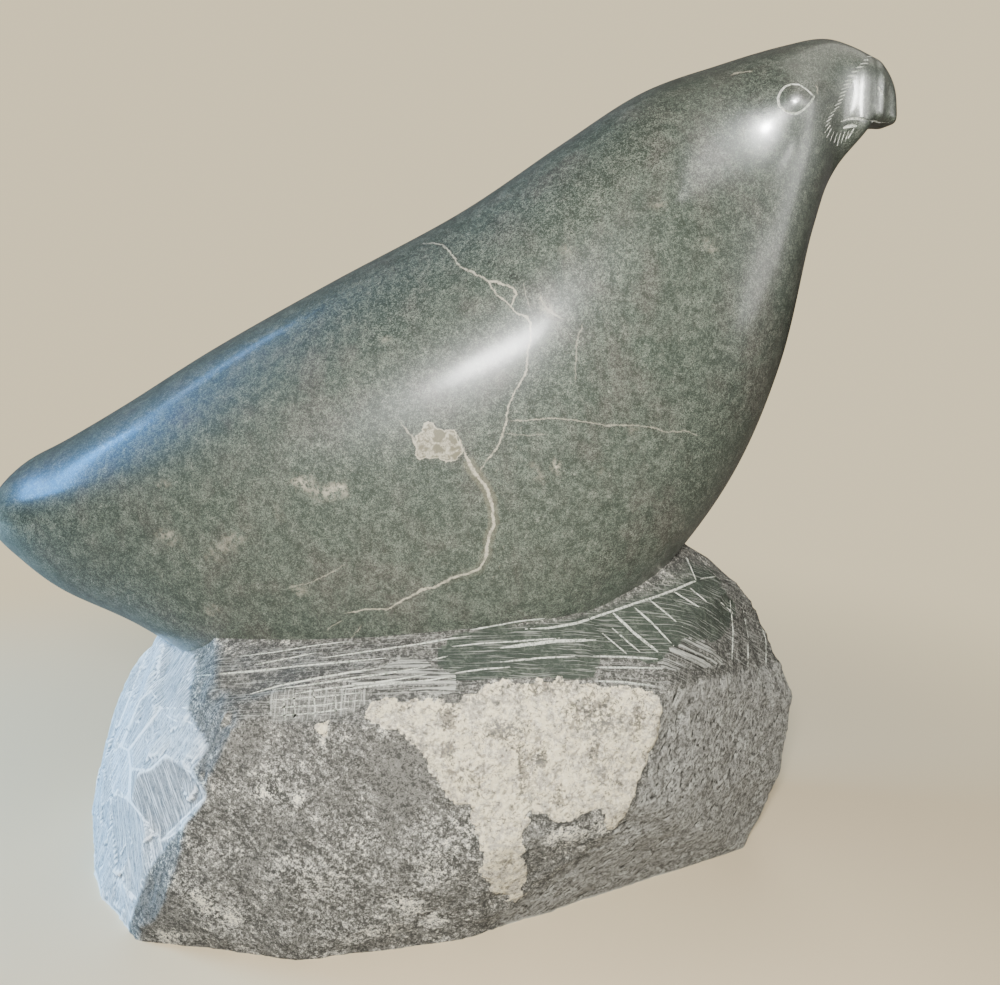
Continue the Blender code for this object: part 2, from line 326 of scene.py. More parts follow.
def crests(mesh: bpy.types.Mesh, points: Array) -> Array:
    """How far each vertex stands out from its neighbours.

    Args:
        mesh: The mesh.
        points: Its vertices.

    Returns:
        A value for each vertex: above 0 on edges and peaks, below 0 in hollows, from -1 to 1.
    """
    edges = np.empty(len(mesh.edges) * 2, dtype=np.int64)
    mesh.edges.foreach_get("vertices", edges)
    edges = edges.reshape(-1, 2)
    normals = np.empty(len(points) * 3)
    mesh.vertices.foreach_get("normal", normals)
    normals = normals.reshape(-1, 3)
    total = np.zeros(len(points))
    count = np.zeros(len(points))
    for here, there in ((edges[:, 0], edges[:, 1]), (edges[:, 1], edges[:, 0])):
        away = points[here] - points[there]
        rise = (away * normals[here]).sum(axis=1) / np.maximum(np.linalg.norm(away, axis=1), 1e-6)
        np.add.at(total, here, rise)
        np.add.at(count, here, 1)
    return np.clip(total / np.maximum(count, 1), -1, 1)


SPOT_CORE, SPOT_EDGE = 0.2, 1.5  # where a spot starts to fade and where it ends, in half sizes


def spot_field(pixels: Array, spots: tuple) -> Array:
    """How strongly spots cover places in the photograph.

    Args:
        pixels: One row of pixel coordinates for each place.
        spots: The spots.

    Returns:
        A share from 0 to 1 for each place.
    """
    cover = np.zeros(len(pixels))
    for spot in spots:
        away = pixels - np.array(spot.at)
        turn = math.radians(spot.turn)
        along = away[:, 0] * math.cos(turn) + away[:, 1] * math.sin(turn)
        across = away[:, 1] * math.cos(turn) - away[:, 0] * math.sin(turn)
        off = np.hypot(along / spot.half[0], across / spot.half[1])
        cover = np.maximum(cover, spot.strength * (1 - smooth_step(off, SPOT_CORE, SPOT_EDGE)))
    return cover


def surface_of(piece: Object) -> BVHTree:
    """A piece's surface, to find places on it."""
    return BVHTree.FromObject(piece, bpy.context.evaluated_depsgraph_get())


@dataclass(frozen=True)
class Station:
    """One slice of the figure, in shares of the figure's length measured from the tail and the seat."""

    name: str
    back: Pair
    belly: Pair
    half_width: float
    widest: float
    upper_fullness: float
    lower_fullness: float

    def numbers(self) -> tuple:
        """The slice's numbers in a row."""
        shape = (self.half_width, self.widest, self.upper_fullness, self.lower_fullness)
        return (*self.back, *self.belly, *shape)

    def beyond(self) -> tuple:
        """The slice's numbers where the surface has run round a tip, seen upside down."""
        shape = (-self.half_width, self.widest, self.upper_fullness, self.lower_fullness)
        return (*self.belly, *self.back, *shape)


STATIONS = (
    Station("tail tip", (0.000, 0.153), (0.000, 0.153), 0.000, 0.50, 2.0, 2.0),
    Station("tail end", (0.011, 0.185), (0.012, 0.129), 0.040, 0.50, 2.0, 2.0),
    Station("tail", (0.044, 0.217), (0.039, 0.102), 0.067, 0.48, 2.0, 2.0),
    Station("tail root", (0.093, 0.243), (0.087, 0.066), 0.089, 0.46, 2.0, 2.1),
    Station("wing tips", (0.163, 0.283), (0.164, 0.031), 0.113, 0.44, 2.0, 2.2),
    Station("rump", (0.267, 0.346), (0.285, -0.033), 0.140, 0.42, 2.0, 2.3),
    Station("wing", (0.396, 0.416), (0.452, -0.055), 0.162, 0.42, 2.1, 2.3),
    Station("back", (0.537, 0.489), (0.635, -0.026), 0.174, 0.42, 2.3, 2.3),
    Station("shoulder", (0.645, 0.559), (0.746, 0.071), 0.171, 0.42, 2.4, 2.2),
    Station("upper breast", (0.729, 0.611), (0.834, 0.189), 0.153, 0.44, 2.4, 2.1),
    Station("neck", (0.811, 0.640), (0.886, 0.318), 0.117, 0.45, 2.3, 2.1),
    Station("nape", (0.877, 0.659), (0.914, 0.459), 0.086, 0.45, 2.2, 2.0),
    Station("eye", (0.922, 0.666), (0.940, 0.534), 0.062, 0.46, 2.2, 2.0),
    Station("beak root", (0.962, 0.651), (0.968, 0.578), 0.048, 0.54, 2.6, 6.0),
    Station("beak", (0.980, 0.641), (0.985, 0.580), 0.037, 0.56, 2.8, 6.0),
    Station("beak edge", (0.993, 0.622), (0.9975, 0.581), 0.026, 0.58, 2.8, 5.0),
    Station("beak front", (1.000, 0.600), (1.000, 0.599), 0.000, 0.50, 2.4, 4.0),
)
THROAT = 13  # the belly line turns sharply at this station, from the throat into the flat below the beak


@dataclass
class Figure:
    """The bird's body, head and beak, as one smooth loft through the stations."""

    length: float = 0.270
    seat: float = 0.071
    near_points: int = 94
    far_points: int = 56
    body_spacing: float = 2.3 * MM
    head_spacing: float = 0.80 * MM
    beak_spacing: float = 0.45 * MM
    head_from: float = 10.6
    beak_from: float = 12.6
    cheek: Pair = (0.872, 0.597)
    cheek_swell: float = 4.6 * MM
    cheek_reach: float = 10.0 * MM
    eye: Pair = (0.869, 0.593)
    eye_dome: float = 0.55 * MM
    beak_ridges: tuple = ((0.9520, 0.9 * MM, 3.0 * MM), (0.9750, 0.6 * MM, 1.3 * MM))
    eye_length: float = 9.2 * MM
    eye_height: float = 8.0 * MM

    def place(self, share_x: float, share_z: float) -> Pair:
        """The x and z of a place in the profile, from shares of the figure's length."""
        return -self.length / 2 + share_x * self.length, self.seat + share_z * self.length

    def slice_numbers(self, stops: Array) -> Array:
        """The numbers of slices between the stations.

        Args:
            stops: Where each slice is, as a station's index and the share of the way to the next.

        Returns:
            One row of slice numbers for each stop.
        """
        rows = np.array([STATIONS[1].beyond(), *(s.numbers() for s in STATIONS), STATIONS[-2].beyond()])
        index = np.minimum(stops.astype(int), len(STATIONS) - 2)
        share = (stops - index)[:, None]
        before, start = rows[index].copy(), rows[index + 1]
        end, after = rows[index + 2], rows[index + 3].copy()
        into, out_of = index + 1 == THROAT, index == THROAT
        after[into, 2:4] = 2 * end[into, 2:4] - start[into, 2:4]
        before[out_of, 2:4] = 2 * start[out_of, 2:4] - end[out_of, 2:4]
        square, cube = share**2, share**3
        return (
            (2 * cube - 3 * square + 1) * start
            + (cube - 2 * square + share) * (end - before) / 2
            + (3 * square - 2 * cube) * end
            + (cube - square) * (after - start) / 2
        )

    def stops(self) -> Array:
        """Where the rings lie, closer together on the head than on the body.

        Returns:
            The rings' stops, from the first ring after the tail's tip to the last before the beak's.
        """
        fine = np.linspace(0, len(STATIONS) - 1, 3000)
        rows = self.slice_numbers(fine)
        middles = (rows[:, 0:2] + rows[:, 2:4]) / 2 * self.length
        tops, bottoms = rows[:, 0:2] * self.length, rows[:, 2:4] * self.length
        gaps = [np.linalg.norm(np.diff(line, axis=0), axis=1) for line in (middles, tops, bottoms)]
        gap = np.maximum.reduce(gaps)
        blend = smooth_step(fine[1:], self.head_from - 1.0, self.head_from)
        spacing = self.body_spacing + (self.head_spacing - self.body_spacing) * blend
        blend = smooth_step(fine[1:], self.beak_from - 0.5, self.beak_from)
        spacing = spacing + (self.beak_spacing - self.head_spacing) * blend
        travelled = np.concatenate([[0.0], np.cumsum(gap / spacing)])
        count = int(travelled[-1])
        wanted = np.linspace(0, travelled[-1], count + 1)[1:-1]
        return np.interp(wanted, travelled, fine)

    def angles(self) -> Array:
        """Where the points of a ring lie, from the back down the near side and up the far side."""
        near = np.linspace(0, math.pi, self.near_points, endpoint=False)
        far = np.linspace(math.pi, math.tau, self.far_points, endpoint=False)
        return np.concatenate([near, far])

    def swell(self, x: Array, z: Array) -> Array:
        """How far the head stands out sideways at places in the profile: cheek, eye and the beak's ridges.

        Args:
            x: How far forward each place is.
            z: How high each place is.

        Returns:
            The extra half width at each place.
        """
        cheek_x, cheek_z = self.place(*self.cheek)
        away = np.hypot(x - cheek_x, z - cheek_z) / self.cheek_reach
        eye_x, eye_z = self.place(*self.eye)
        off = np.hypot((x - eye_x) / (self.eye_length / 2), (z - eye_z) / (self.eye_height / 2))
        found = self.cheek_swell * np.exp(-(away**2)) + self.eye_dome * (1 - smooth_step(off, 0.25, 1.0))
        for share, rise, reach in self.beak_ridges:
            found = found + rise * np.exp(-(((x - self.place(share, 0)[0]) / reach) ** 2))
        return found

    def rings(self, stops: Array) -> Array:
        """The points of the rings.

        Args:
            stops: Where the rings lie.

        Returns:
            An array of rings by points by x, y and z.
        """
        rows = self.slice_numbers(stops)
        back_x, back_z = self.place(rows[:, 0:1], rows[:, 1:2])
        belly_x, belly_z = self.place(rows[:, 2:3], rows[:, 3:4])
        half_width, widest, upper, lower = (rows[:, i : i + 1] for i in range(4, 8))
        angles = self.angles()[None, :]
        down, out = np.cos(angles), np.sin(angles)
        fullness = np.where(down > 0, upper, lower)
        reach = np.abs(down) ** (2 / fullness)
        along = np.where(down > 0, widest * (1 - reach), widest + (1 - widest) * reach)
        side = np.sign(out) * np.abs(out) ** (2 / fullness)
        x = back_x + along * (belly_x - back_x)
        z = back_z + along * (belly_z - back_z)
        y = -side * (half_width * self.length + self.swell(x, z))
        return np.stack([x, y, z], axis=2)

    def build(self) -> Object:
        """Makes the figure.

        Returns:
            The closed solid.
        """
        rings = self.rings(self.stops())
        (tail_x, tail_z), (beak_x, beak_z) = (self.place(*STATIONS[end].back) for end in (0, -1))
        ends = [(tail_x, 0, tail_z), (beak_x, 0, beak_z)]
        return closed_solid("figure", rings.reshape(-1, 3), rings.shape[1], ends, Finish.POLISHED)


@dataclass(frozen=True)
class Dressing:
    """A flat that the mason's chisel or rasp has left on the block, through a place and facing one way."""

    name: str
    through: Triple
    heading: float
    lift: float

    def outward(self) -> Array:
        """The way it faces."""
        turn, rise = math.radians(self.heading), math.radians(self.lift)
        flat = math.cos(rise)
        return np.array([math.cos(turn) * flat, math.sin(turn) * flat, math.sin(rise)])


# Corners of the natural block, as shares of its length, its depth and the seat's height
NATURAL_CORNERS = (
    (-0.485, -0.170, 0.00), (-0.372, -0.400, 0.00), (-0.160, -0.470, 0.00),
    (0.030, -0.400, 0.00), (0.254, -0.190, 0.00), (0.430, -0.020, 0.00),
    (0.430, 0.200, 0.00), (0.260, 0.400, 0.00), (-0.100, 0.462, 0.00),
    (-0.380, 0.350, 0.00), (-0.490, 0.080, 0.00), (-0.545, -0.080, 0.32),
    (-0.360, -0.450, 0.20), (-0.180, -0.508, 0.42), (0.080, -0.477, 0.50),
    (0.250, -0.400, 0.60), (0.500, 0.030, 0.72), (0.485, 0.010, 0.34),
    (0.450, 0.280, 0.60), (0.220, 0.470, 0.56), (-0.180, 0.492, 0.50),
    (-0.450, 0.300, 0.42), (-0.465, -0.040, 0.84), (-0.280, -0.450, 0.98),
    (-0.050, -0.470, 1.08), (0.275, -0.370, 1.08), (0.440, 0.030, 1.16),
    (0.280, 0.380, 1.08), (-0.150, 0.430, 1.00), (-0.400, 0.220, 0.86),
    (-0.330, -0.100, 1.30), (-0.300, 0.150, 1.30), (0.350, -0.060, 1.52),
    (0.330, 0.160, 1.44),
)

FRONT_LEDGES = (
    Dressing("front ledge below the wing", (-0.167, -0.369, 1.100), -105, 64),
    Dressing("front ledge, middle", (0.018, -0.373, 1.148), -95, 54),
    Dressing("front ledge below the breast", (0.202, -0.346, 1.197), -80, 24),
)
BACK_LEDGES = (
    Dressing("back ledge below the wing", (-0.167, 0.369, 1.080), 103, 62),
    Dressing("back ledge, middle", (0.030, 0.372, 1.140), 94, 50),
    Dressing("back ledge below the breast", (0.202, 0.346, 1.190), 82, 30),
)
BREAST_SLOPES = (
    Dressing("slope before the breast", (0.371, 0.000, 1.355), -25, 56),
    Dressing("slope before the breast, back", (0.360, 0.120, 1.325), 34, 46),
    Dressing("right end, upper chisel face", (0.430, 0.000, 1.165), -25, 26),
)
LEFT_FLATS = (
    Dressing("left end, top", (-0.419, -0.020, 0.890), -150, 34),
    Dressing("left end, upper right", (-0.345, -0.310, 0.830), -134, 24),
    Dressing("left end, middle left", (-0.450, -0.054, 0.634), -152, 15),
    Dressing("left end, middle right", (-0.340, -0.370, 0.620), -134, 13),
    Dressing("left end, lower left", (-0.502, -0.080, 0.360), -160, 26),
    Dressing("left end, at the foot", (-0.518, -0.100, 0.200), -163, -5),
    Dressing("left end, lower middle", (-0.442, -0.250, 0.220), -141, 6),
    Dressing("left end, lower right", (-0.385, -0.400, 0.160), -129, 3),
    Dressing("left end, back", (-0.450, 0.160, 0.600), 158, 14),
)


@dataclass(frozen=True)
class Flat:
    """One stroke's flat on the block, by its outline in the photograph.

    A slant of 1 means that its scratches run down to the right, and a tone of 1 that it is pale, partly with
    powder and partly with painted light for how brightly the flat catches the light.
    """

    outline: tuple
    sunk: float = 0.35 * MM
    turned: float = 0.0
    tipped: float = 0.0
    slant: float = 0.0
    tone: float = 0.5


CHISEL_FLATS = (
    Flat(((150, 645), (165, 646), (152, 690), (140, 700), (122, 746), (112, 742)), 0.0, 0, 0, 0, 0.95),
    Flat(((165, 638), (198, 655), (196, 680), (188, 708), (160, 708), (152, 690)),
         0.3 * MM, -3, -3, 0.1, 0.40),
    Flat(((152, 690), (161, 708), (129, 750), (120, 746), (140, 700)), 0.2 * MM, -3, 2, 0.1, 0.5),
    Flat(((160, 708), (172, 720), (190, 722), (210, 747), (190, 772), (165, 755), (150, 770), (131, 768),
          (128, 750)), 0.6 * MM, -1, 3, 0.3, 0.75),
    Flat(((131, 770), (150, 770), (165, 755), (190, 772), (207, 795), (200, 802), (160, 842), (150, 830),
          (130, 800)), 0.4 * MM, 5, -3, 1.0, 0.10),
    Flat(((120, 746), (129, 752), (130, 770), (128, 800), (112, 792), (100, 786), (86, 792), (92, 770)),
         0.0, 0, 2, 0, 1.0),
    Flat(((112, 800), (118, 789), (150, 825), (152, 865), (142, 905), (122, 882), (97, 850), (95, 830)),
         0.35 * MM, 0, -2, 1.0, 0.45),
    Flat(((86, 790), (106, 785), (104, 812), (95, 822), (86, 808)), -0.3 * MM, -3, 2, 0.0, 1.0),
    Flat(((93, 856), (112, 868), (135, 905), (127, 930), (100, 899)), 0.1 * MM, 0, 0, 1.0, 0.85),
    Flat(((150, 828), (160, 842), (178, 832), (160, 868), (152, 872)), 0.3 * MM, 3, 2, 1.0, 0.3),
    Flat(((686, 552), (714, 560), (738, 578), (760, 606), (737, 614), (704, 577), (694, 572)),
         0.2 * MM, 4, 4, 0.5, 0.3),
    Flat(((729, 617), (758, 609), (771, 632), (779, 656), (764, 671), (731, 661)), 0.3 * MM, 3, -4, 0.0, 0.3),
)
RASP_FLATS = (
    Flat(((657, 665), (672, 647), (686, 640), (707, 642), (717, 654), (726, 664), (699, 668), (672, 671)),
         -0.5 * MM, -4, 4),
    Flat(((204, 694), (222, 680), (256, 673), (300, 668), (345, 672), (300, 682), (246, 696), (214, 702)),
         0.6 * MM, 0, -10),
    Flat(((268, 693), (314, 688), (367, 691), (372, 703), (352, 713), (314, 723), (270, 724)),
         0.3 * MM, 0, -8),
    Flat(((335, 677), (383, 666), (410, 657), (430, 661), (456, 676), (456, 690), (436, 696), (417, 690),
          (364, 690)), -0.7 * MM, 0, 6),
)

# Outlines in the photograph
RIND = (
    (364, 715), (372, 701), (414, 698), (453, 701), (492, 681), (537, 679), (590, 681), (661, 693),
    (658, 740), (641, 780), (627, 813), (609, 833), (599, 810), (560, 822), (527, 810), (524, 853),
    (529, 881), (517, 904), (492, 889), (484, 875), (478, 838), (467, 810), (436, 785), (422, 749),
    (397, 735), (380, 723),
)
FRACTURE = (
    (501, 916), (548, 883), (593, 852), (620, 826), (640, 795), (650, 768), (665, 693), (720, 672),
    (768, 655), (830, 640), (840, 860), (640, 920), (515, 960),
)
CHISELLED = (
    (120, 600), (170, 630), (196, 660), (187, 708), (209, 747), (190, 770), (206, 797), (175, 835),
    (150, 868), (135, 905), (126, 940), (60, 940), (50, 700),
)

LEDGE = (
    (197, 655), (240, 654), (350, 638), (455, 628), (560, 620), (607, 606), (690, 560), (740, 580),
    (764, 612), (780, 662), (725, 672), (662, 692), (600, 682), (490, 681), (455, 692), (371, 703),
    (352, 713), (314, 722), (271, 723), (244, 728), (205, 700),
)
SMOOTH_LEDGE = (
    (440, 645), (455, 636), (545, 612), (600, 600), (680, 555), (700, 560), (716, 577), (738, 612),
    (720, 640), (686, 640), (672, 647), (658, 664), (600, 656), (594, 678), (500, 680), (455, 680),
    (436, 664),
)
RASPED_PATCH = (
    (335, 677), (383, 666), (410, 657), (427, 660), (433, 666), (456, 676), (456, 690), (436, 696),
    (417, 690), (364, 690),
)
HATCHED_PATCH = ((268, 691), (314, 687), (367, 689), (372, 703), (352, 712), (314, 722), (270, 723))
BROKEN_STRIP = ((214, 676), (314, 666), (345, 670), (280, 685), (222, 696), (204, 694))
CHIP = ((657, 665), (672, 647), (686, 640), (707, 642), (717, 654), (726, 664), (699, 668), (672, 671))
CREAM_SPOT = ((314, 722), (328, 722), (329, 729), (323, 742), (315, 730))


@dataclass(frozen=True)
class Vein:
    """A vein in the polished stone, along a line in the photograph."""

    line: tuple
    start: float
    end: float
    layer: int = 0
    strength: float = 1.0


VEIN_LAYERS = 3
VEINS = (
    Vein(((419, 245), (431, 243), (440, 244), (447, 248), (454, 257), (459, 266), (468, 270), (478, 276),
          (490, 281), (493, 291), (503, 299), (511, 306), (515, 313), (529, 318), (532, 330), (530, 343),
          (526, 359), (527, 371), (521, 383), (511, 398), (507, 416), (503, 434), (497, 449), (484, 463),
          (478, 474)), 0.24, 0.26, 0, 0.85),
    Vein(((488, 280), (500, 283), (511, 286), (514, 291), (518, 296), (513, 300), (511, 307)),
         0.30, 0.30, 1, 0.9),
    Vein(((462, 447), (466, 453), (470, 467), (476, 475), (482, 480), (488, 491), (492, 502), (493, 515),
          (494, 525), (488, 539), (486, 557), (480, 568), (467, 574), (454, 577), (435, 587), (421, 590),
          (404, 600), (385, 610), (367, 609), (358, 611), (344, 613)), 0.56, 0.20, 2),
    Vein(((509, 421), (533, 420), (552, 418), (568, 419), (584, 422), (607, 425), (631, 425), (652, 427),
          (666, 432), (684, 431), (700, 436)), 0.20, 0.14, 1, 0.62),
    Vein(((503, 433), (515, 434), (527, 436), (545, 434)), 0.20, 0.12, 2, 0.4),
    Vein(((398, 420), (407, 431), (413, 437), (417, 446)), 0.16, 0.26, 1, 0.7),
    Vein(((288, 588), (310, 583), (331, 573), (346, 563)), 0.16, 0.16, 0, 0.55),
    Vein(((362, 625), (353, 636), (348, 644), (343, 654)), 0.16, 0.16, 0, 0.7),
    Vein(((343, 620), (327, 629)), 0.14, 0.14, 1, 0.6),
    Vein(((539, 295), (543, 304), (554, 315), (564, 320)), 0.34, 0.20, 1, 0.6),
    Vein(((583, 325), (577, 340), (576, 363), (575, 384)), 0.24, 0.14, 0, 0.38),
    Vein(((730, 75), (742, 72), (753, 71)), 0.25, 0.15, 0, 0.8),
    Vein(((816, 84), (818, 95)), 0.22, 0.14, 0, 0.8),
)
BLOTCH = (
    (425, 418), (431, 424), (441, 431), (454, 429), (459, 437), (462, 446), (465, 455), (458, 462),
    (448, 464), (437, 456), (428, 460), (416, 460), (412, 452), (415, 446), (412, 441), (419, 436),
    (423, 430),
)


@dataclass(frozen=True)
class Spot:
    """A soft oval of another tone, at a pixel of the photograph."""

    at: Pair
    half: Pair
    turn: float = 0.0
    strength: float = 1.0


PALE_SPOTS = (
    Spot((303, 483), (11, 6), 8), Spot((327, 489), (16, 5), -8, 0.9), Spot((342, 485), (5, 4)),
    Spot((279, 508), (5, 5), 0, 0.7), Spot((163, 484), (5, 4), 0, 0.6), Spot((557, 467), (4, 8), 5),
    Spot((535, 474), (9, 5), 35, 0.5), Spot((226, 545), (26, 6), -32, 0.45),
    Spot((168, 537), (11, 5), 15, 0.7), Spot((658, 203), (6, 5), 0, 0.5), Spot((711, 246), (5, 5), 0, 0.8),
    Spot((300, 592), (6, 3), 0, 0.7), Spot((545, 308), (12, 6), 35, 0.5), Spot((600, 470), (5, 3), 0, 0.3),
    Spot((210, 610), (7, 3), -30, 0.6), Spot((385, 340), (6, 4), 0, 0.3),
    Spot((640, 430), (9, 3), 10, 0.35), Spot((566, 250), (8, 5), 20, 0.3),
)
DARK_SPOTS = (
    Spot((491, 263), (6, 4), 20, 0.8), Spot((513, 277), (9, 6), 20), Spot((500, 282), (9, 3), 10, 0.7),
    Spot((533, 288), (5, 4), 0, 0.6), Spot((265, 467), (6, 3), 0, 0.8), Spot((260, 489), (4, 3), 0, 0.7),
    Spot((301, 459), (7, 3), -60, 0.5), Spot((538, 478), (6, 4), 0, 0.7),
    Spot((497, 300), (8, 5), 30, 0.35),
)
BLOOM = (
    Spot((205, 905), (22, 8), 38), Spot((232, 920), (12, 6), 0, 0.9), Spot((268, 792), (18, 9), 5),
    Spot((298, 800), (8, 7)), Spot((324, 735), (5, 14)), Spot((345, 738), (8, 4), 0, 0.8),
    Spot((170, 935), (18, 7), 5, 0.9), Spot((110, 925), (10, 6), 0, 0.7), Spot((408, 905), (20, 10), 20),
    Spot((435, 920), (16, 8), -10, 0.8), Spot((565, 835), (24, 10), -10), Spot((600, 828), (10, 8), 0, 0.9),
    Spot((470, 835), (10, 30), 0, 0.5), Spot((385, 735), (10, 6), 30, 0.9),
    Spot((300, 870), (50, 24), 30, 0.35), Spot((250, 720), (26, 10), -40, 0.5),
    Spot((440, 860), (24, 26), 0, 0.4), Spot((360, 930), (40, 14), -5, 0.45),
    Spot((706, 700), (24, 16), 0, 0.6), Spot((745, 690), (18, 14), 0, 0.7),
)
GLOOM = (
    Spot((400, 775), (38, 50), 15, 0.9), Spot((230, 745), (40, 24), -30, 0.6),
    Spot((150, 900), (30, 20), 30, 0.8), Spot((260, 860), (16, 50), 40, 0.5), Spot((500, 728), (26, 7), 5),
    Spot((540, 765), (8, 4), 10), Spot((448, 750), (8, 7)), Spot((470, 700), (30, 6), 5, 0.8),
    Spot((606, 728), (26, 12), 0, 0.8), Spot((530, 790), (5, 26), 0, 0.7), Spot((600, 770), (5, 8), 0, 0.8),
    Spot((520, 700), (4, 26), 0, 0.6), Spot((560, 690), (14, 8), 0, 0.6),
    Spot((650, 850), (60, 14), -30, 0.6), Spot((540, 840), (8, 14), 0, 0.8),
    Spot((335, 800), (30, 12), 20, 0.5), Spot((380, 690), (50, 5), -5, 0.9),
)
SOIL = (
    Spot((502, 732), (24, 9), -8), Spot((448, 718), (12, 16), 20, 0.9), Spot((448, 750), (9, 8)),
    Spot((538, 758), (10, 12), 30), Spot((521, 764), (4, 38), -3), Spot((540, 688), (50, 7), -2, 0.8),
    Spot((595, 714), (34, 20), 5, 0.8), Spot((594, 750), (4, 14), 20), Spot((560, 795), (8, 14), 0, 0.6),
    Spot((470, 780), (14, 24), -30, 0.5), Spot((640, 715), (10, 24), 0, 0.6),
    Spot((610, 782), (14, 8), 20, 0.5), Spot((404, 706), (6, 12), 20, 0.5),
    Spot((505, 862), (12, 5), 0, 0.6),
)
BROWN_SPOTS = (
    Spot((652, 240), (13, 105), 4), Spot((610, 385), (16, 70), 12, 0.8),
    Spot((470, 300), (36, 16), 35, 0.7), Spot((350, 355), (70, 22), -30, 0.5),
    Spot((330, 590), (120, 34), -6, 0.8), Spot((640, 520), (60, 40), 0, 0.7),
    Spot((745, 380), (20, 80), 20, 0.7), Spot((500, 380), (18, 40), 25, 0.5),
    Spot((440, 440), (36, 30), 0, 0.5), Spot((790, 90), (40, 22), 0, 0.5),
)


SPOT_FIELDS = {
    "pale": PALE_SPOTS,
    "dark": DARK_SPOTS,
    "brown": BROWN_SPOTS,
    "bloom": BLOOM,
    "gloom": GLOOM,
    "soil": SOIL,
}


@dataclass(frozen=True)
class Groove:
    """A cut that follows a line in the photograph, with its width and depth in millimetres."""

    line: tuple
    width: float = 0.55
    depth: float = 0.28
    closed: bool = False


EYE_RING = Groove(
    (
        (785, 86.5), (791, 84.2), (799, 84.5), (806, 89.0), (810.5, 93.0), (814.5, 97.0), (811, 101.5),
        (807, 106.5), (802.5, 110.5), (797, 113.4), (791, 113.4), (784.5, 110.5), (779, 105.0), (778, 98.0),
        (781, 91.0),
    ),
    0.70, 0.40, True,
)
HEAD_GROOVES = (
    Groove(((841, 121.5), (849, 118.8), (858, 118), (866, 119.5), (874, 121.5), (882, 122.5), (889, 122.5)),
           0.85, 0.35),
    Groove(((843, 128), (850, 125.5), (857, 126)), 1.2, 0.6),
    Groove(((877.5, 86), (880.5, 90.5), (883.5, 95)), 0.75, 0.5),
)
LEDGE_GROOVES = (
    Groove(((196, 676), (218, 674), (256, 671), (299, 666), (344, 662), (386, 658)), 0.75, 0.40),
    Groove(((322, 658), (364, 652), (419, 644), (454, 638), (472, 636)), 0.60, 0.34),
    Groove(((241, 656), (276, 652), (314, 645.5), (348, 641.5)), 0.45, 0.26),
    Groove(((256, 664.5), (295, 657), (314, 653))),
    Groove(((250, 694), (280, 685.5), (318, 678), (352, 672), (381, 668)), 0.70, 0.40),
    Groove(((272, 689.5), (312, 684.5), (345, 679), (390, 673), (427, 666.5)), 0.60, 0.34),
    Groove(((293, 694), (314, 690.5), (352, 685.5), (400, 679), (427, 674))),
    Groove(((340, 690), (380, 685), (430, 680), (455, 676))),
    Groove(((432, 660), (448, 656)), 0.45, 0.25),
    Groove(((455, 673), (480, 669.5), (510, 667)), 0.50, 0.28),
    Groove(((452, 646.5), (480, 643.5), (520, 641), (560, 638)), 0.50, 0.28),
    Groove(((470, 630), (520, 621), (545, 618.5)), 0.50, 0.28),
    Groove(((500, 648), (520, 645.5), (556, 641), (596, 640)), 1.10, 0.45),
    Groove(((525, 629), (549, 628), (577, 623), (607, 613), (636, 603), (652, 598), (672, 591), (690, 583),
            (704, 578), (716, 576.5)), 0.85, 0.42),
    Groove(((612, 612), (634, 633), (658, 652)), 1.00, 0.45),
    Groove(((634, 607), (651, 622), (674, 646)), 0.65, 0.36),
    Groove(((650, 600), (668, 615), (683, 627)), 0.65, 0.36),
    Groove(((673, 591), (686, 599), (699, 607)), 0.60, 0.32),
    Groove(((689, 587), (707, 602)), 0.55, 0.30),
    Groove(((714, 596), (735, 615)), 0.50, 0.28),
    Groove(((602, 633), (614, 643), (627, 654))),
    Groove(((612, 628), (628, 642), (640, 652))),
    Groove(((593, 656), (625, 657), (658, 659)), 0.60, 0.30),
    Groove(((595, 667.5), (630, 667.5), (663, 668.5)), 0.60, 0.30),
    Groove(((500, 662), (540, 658), (575, 656))),
    Groove(((595, 681), (625, 682), (655, 686))),
    Groove(((270, 700), (320, 697), (365, 692)), 0.40, 0.22),
    Groove(((272, 708), (320, 705), (362, 700)), 0.40, 0.22),
    Groove(((275, 716), (315, 713), (350, 708)), 0.40, 0.22),
    Groove(((283, 690), (285, 722)), 0.40, 0.22),
    Groove(((293, 690), (296, 721)), 0.35, 0.20),
    Groove(((313, 688), (316, 719)), 0.40, 0.22),
    Groove(((335, 687), (336, 713)), 0.40, 0.22),
    Groove(((730, 600), (733, 630), (732, 660)), 0.60, 0.32),
    Groove(((742, 604), (748, 635), (748, 668)), 0.50, 0.28),
    Groove(((757, 612), (766, 640), (766, 668)), 0.50, 0.28),
    Groove(((686, 557), (691, 568), (696, 580)), 0.70, 0.38),
)
# The short strokes at the root of the beak: a place on each and its lean above the level, in degrees
FRINGE = (
    ((869, 56.5), 0), ((866, 60), 2), ((864, 63.5), 4), ((860, 67), 6), ((855, 71.5), 8), ((852, 75.5), 12),
    ((850, 80), 14), ((847.5, 84), 16), ((846, 88), 18), ((844, 92), 20), ((842, 96), 22), ((840.5, 100), 26),
    ((838, 104), 28), ((836.5, 108), 30), ((833, 112), 33), ((831, 116), 34), ((829, 120), 36),
    ((827.5, 124.5), 42), ((827.5, 129), 55), ((829, 133), 62), ((832, 136.5), 68), ((835.5, 138), 72),
    ((839, 139), 74), ((843, 137.5), 72), ((847, 136), 68), ((851, 133.5), 60),
)


